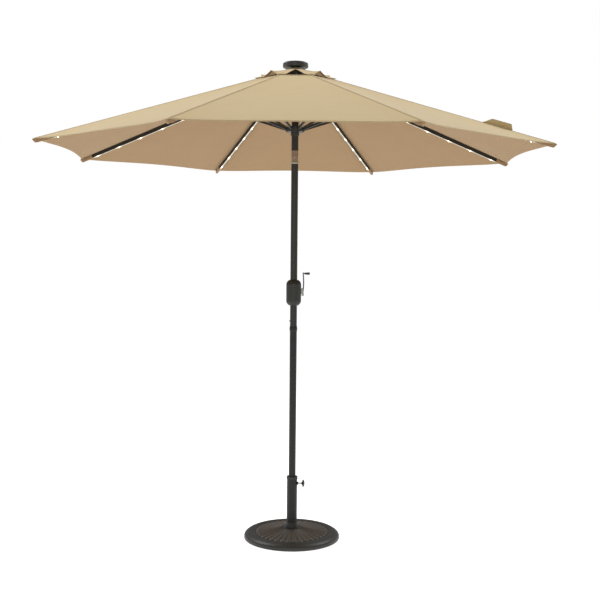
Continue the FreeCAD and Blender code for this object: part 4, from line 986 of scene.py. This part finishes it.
def smooth_line(route, steps):
    """Points of a smooth NURBS line through a few control points in mm."""
    curve = bpy.data.curves.new("route", "CURVE")
    curve.dimensions = "3D"
    curve.resolution_u = steps
    spline = curve.splines.new("NURBS")
    spline.points.add(len(route) - 1)
    for point, place in zip(spline.points, route):
        point.co = (*place, 1)
    spline.order_u = 3
    spline.use_endpoint_u = True
    holder = bpy.data.objects.new("route", curve)
    line = bpy.data.meshes.new_from_object(holder)
    points = [vertex.co.copy() for vertex in line.vertices]
    bpy.data.objects.remove(holder)
    bpy.data.meshes.remove(line)
    return points


def braid(name, route, steps, node):
    """A braided cord, 2.5 mm thick, along a route in the plane of the pulley."""
    points = smooth_line(route, steps)
    rows = []
    for i, point in enumerate(points):
        way = (points[min(i + 1, len(points) - 1)] - points[max(i - 1, 0)]).normalized()
        side = way.cross(Vector((0.1, 1, 0.05))).normalized()
        front = way.cross(side)
        row = []
        for a in angles(10):
            radius = CORD_RADIUS - BRAID_WAVE + BRAID_WAVE * math.cos(math.pi * i / 2 + 5 * a)
            row.append(point + radius * (side * math.cos(a) + front * math.sin(a)))
        rows.append(row)
    rope = loft(name, rows, lift_rope)
    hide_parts(node)
    return rope


def corners(node):
    """The lowest and highest corner of a CAD node, in mm."""
    return [Vector(corner) * 1000 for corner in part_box(node)]


low, high = corners("lift_cord_lower")
spool = (0, high.y - CORD_RADIUS, low.z + 1.3)
inside = braid("lift_rope_in_pole", [spool, (0, 2, (low.z + high.z) / 2), (0, 0, high.z - 40),
                                     (0, 0, high.z)], 60, "lift_cord_lower")
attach(inside, "pole")
low, high = corners("lift_cord_upper")
wheel = (low.x + high.x) / 2 + 1.2
reach = high.x - CORD_RADIUS - wheel
crest = high.z - CORD_RADIUS
over = braid("lift_rope_over_pulley", [(0, 0, low.z), (wheel - reach, 0, PULLEY_FOOT),
                                       (wheel - reach, 0, crest), (wheel, 0, crest),
                                       (wheel + reach, 0, crest), (wheel + reach, 0, PULLEY_FOOT)],
             40, "lift_cord_upper")
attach(over, "tilt_head")
low, high = corners("lift_cord_fall")
cord_x = (low.x + high.x) / 2
fall = braid("lift_rope_fall", [(cord_x, 0, z) for z in (high.z, (low.z + high.z) / 2, low.z)],
             60, "lift_cord_fall")
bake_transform(fall)
print("cord fall", round(high.z - low.z), "mm at", round(cord_x, 1), "mm from the axis")

# %% [markdown]
# The tilt joint has a bright steel ring round its foot, and its two pins show as domed rivets on the
# sides. Both are small turned parts that catch the light.

# %% Ring and rivets of the tilt joint
POLE_SKIN, TILT_PIVOT = 18.52, 2050
ring = spun("tilt_foot_ring", [(POLE_SKIN, 2018.4), (19.2, 2018.4), (19.5, 2019), (19.5, 2029.6),
                               (19.2, 2030.2), (POLE_SKIN, 2030.2)], satin_steel)
belongs(ring, "pole")
for side, way in (("front", -1), ("rear", 1)):
    rows = []
    for reach, radius in ((17.2, 3.6), (18.4, 3.6), (19.0, 3.2), (19.4, 2.2), (19.5, 0.9)):
        rows.append([Vector((radius * math.cos(a), way * reach, TILT_PIVOT + radius * math.sin(a)))
                     for a in angles(24)])
    rivet = loft(f"tilt_rivet_{side}", rows, bright_zinc)
    belongs(rivet, "pole")
print("ring and two rivets")

# %% [markdown]
# The pole's two halves meet at a swaged bead. Around the upper pole's lower end a thin black lip keeps
# the rain out. It is a turned ring with a rounded edge.

# %% Lip at the pole joint
lip = spun("pole_joint_lip", [(POLE_SKIN, 1151.2), (19.4, 1151.2), (19.7, 1152), (19.4, 1156),
                              (POLE_SKIN, 1156.6)], nylon_black)
belongs(lip, "pole")
print("lip", [round(c, 3) for c in lip.dimensions])

# %% [markdown]
# The object stands on a plain white floor under a white sky, as in a studio sweep. The floor glows a
# little, so that floor and sky are the same white to the eye. The sky lights the object with a third of
# what the eye sees, because a dark object in a fully white room looks grey. Two broad lights
# above the canopy shape its panels, and a small one in front draws a soft line down the poles. The
# standard view transform keeps whites white and the beige as it was picked.

# %% Studio
white, tree, surface = finish("white studio floor", "#f4f4f4", Roughness=0.9, Specular_IOR_Level=0.1,
                              Emission_Color=(1, 1, 1, 1), Emission_Strength=0.72)
place = add(tree, "ShaderNodeTexCoord").outputs["Object"]
dust = add(tree, "ShaderNodeTexNoise", Vector=place, Scale=3.0)
wire(tree, surface, Base_Color=mixed(tree, dust.outputs["Fac"], colour("#f4f4f4"), colour("#f7f7f7")))
FLOOR = 40000
floor = build("floor", [(x * FLOOR, y * FLOOR, -1) for x, y in ((-1, -1), (1, -1), (1, 1), (-1, 1))],
              [(0, 1, 2, 3)], [white])
sky = bpy.data.worlds.new("sky")
sky.use_nodes = True
seen = add(sky.node_tree, "ShaderNodeLightPath").outputs["Is Camera Ray"]
glow = add(sky.node_tree, "ShaderNodeMapRange", Value=seen, To_Min=0.33, To_Max=1.0)
backdrop = sky.node_tree.nodes["Background"].inputs
backdrop["Color"].default_value = (1, 1, 1, 1)
sky.node_tree.links.new(glow.outputs["Result"], backdrop["Strength"])
bpy.context.scene.world = sky
bpy.context.scene.view_settings.view_transform = "Standard"


def softbox(name, place, target, size, power):
    """A square area light that looks at a point."""
    lamp = bpy.data.objects.new(name, bpy.data.lights.new(name, "AREA"))
    lamp.data.shape = "SQUARE"
    lamp.data.size = size
    lamp.data.energy = power
    lamp.location = place
    lamp.rotation_euler = (Vector(target) - Vector(place)).to_track_quat("-Z", "Y").to_euler()
    bpy.context.scene.collection.objects.link(lamp)
    return lamp


softbox("left light", (-4.5, 1.5, 6.0), (0, 0, 2.0), 3.0, 230)
softbox("right light", (4.5, 1.5, 6.0), (0, 0, 2.0), 3.0, 190)
softbox("front light", (-0.7, -6.0, 2.6), (0, 0, 1.4), 1.1, 34)
print("studio ready")
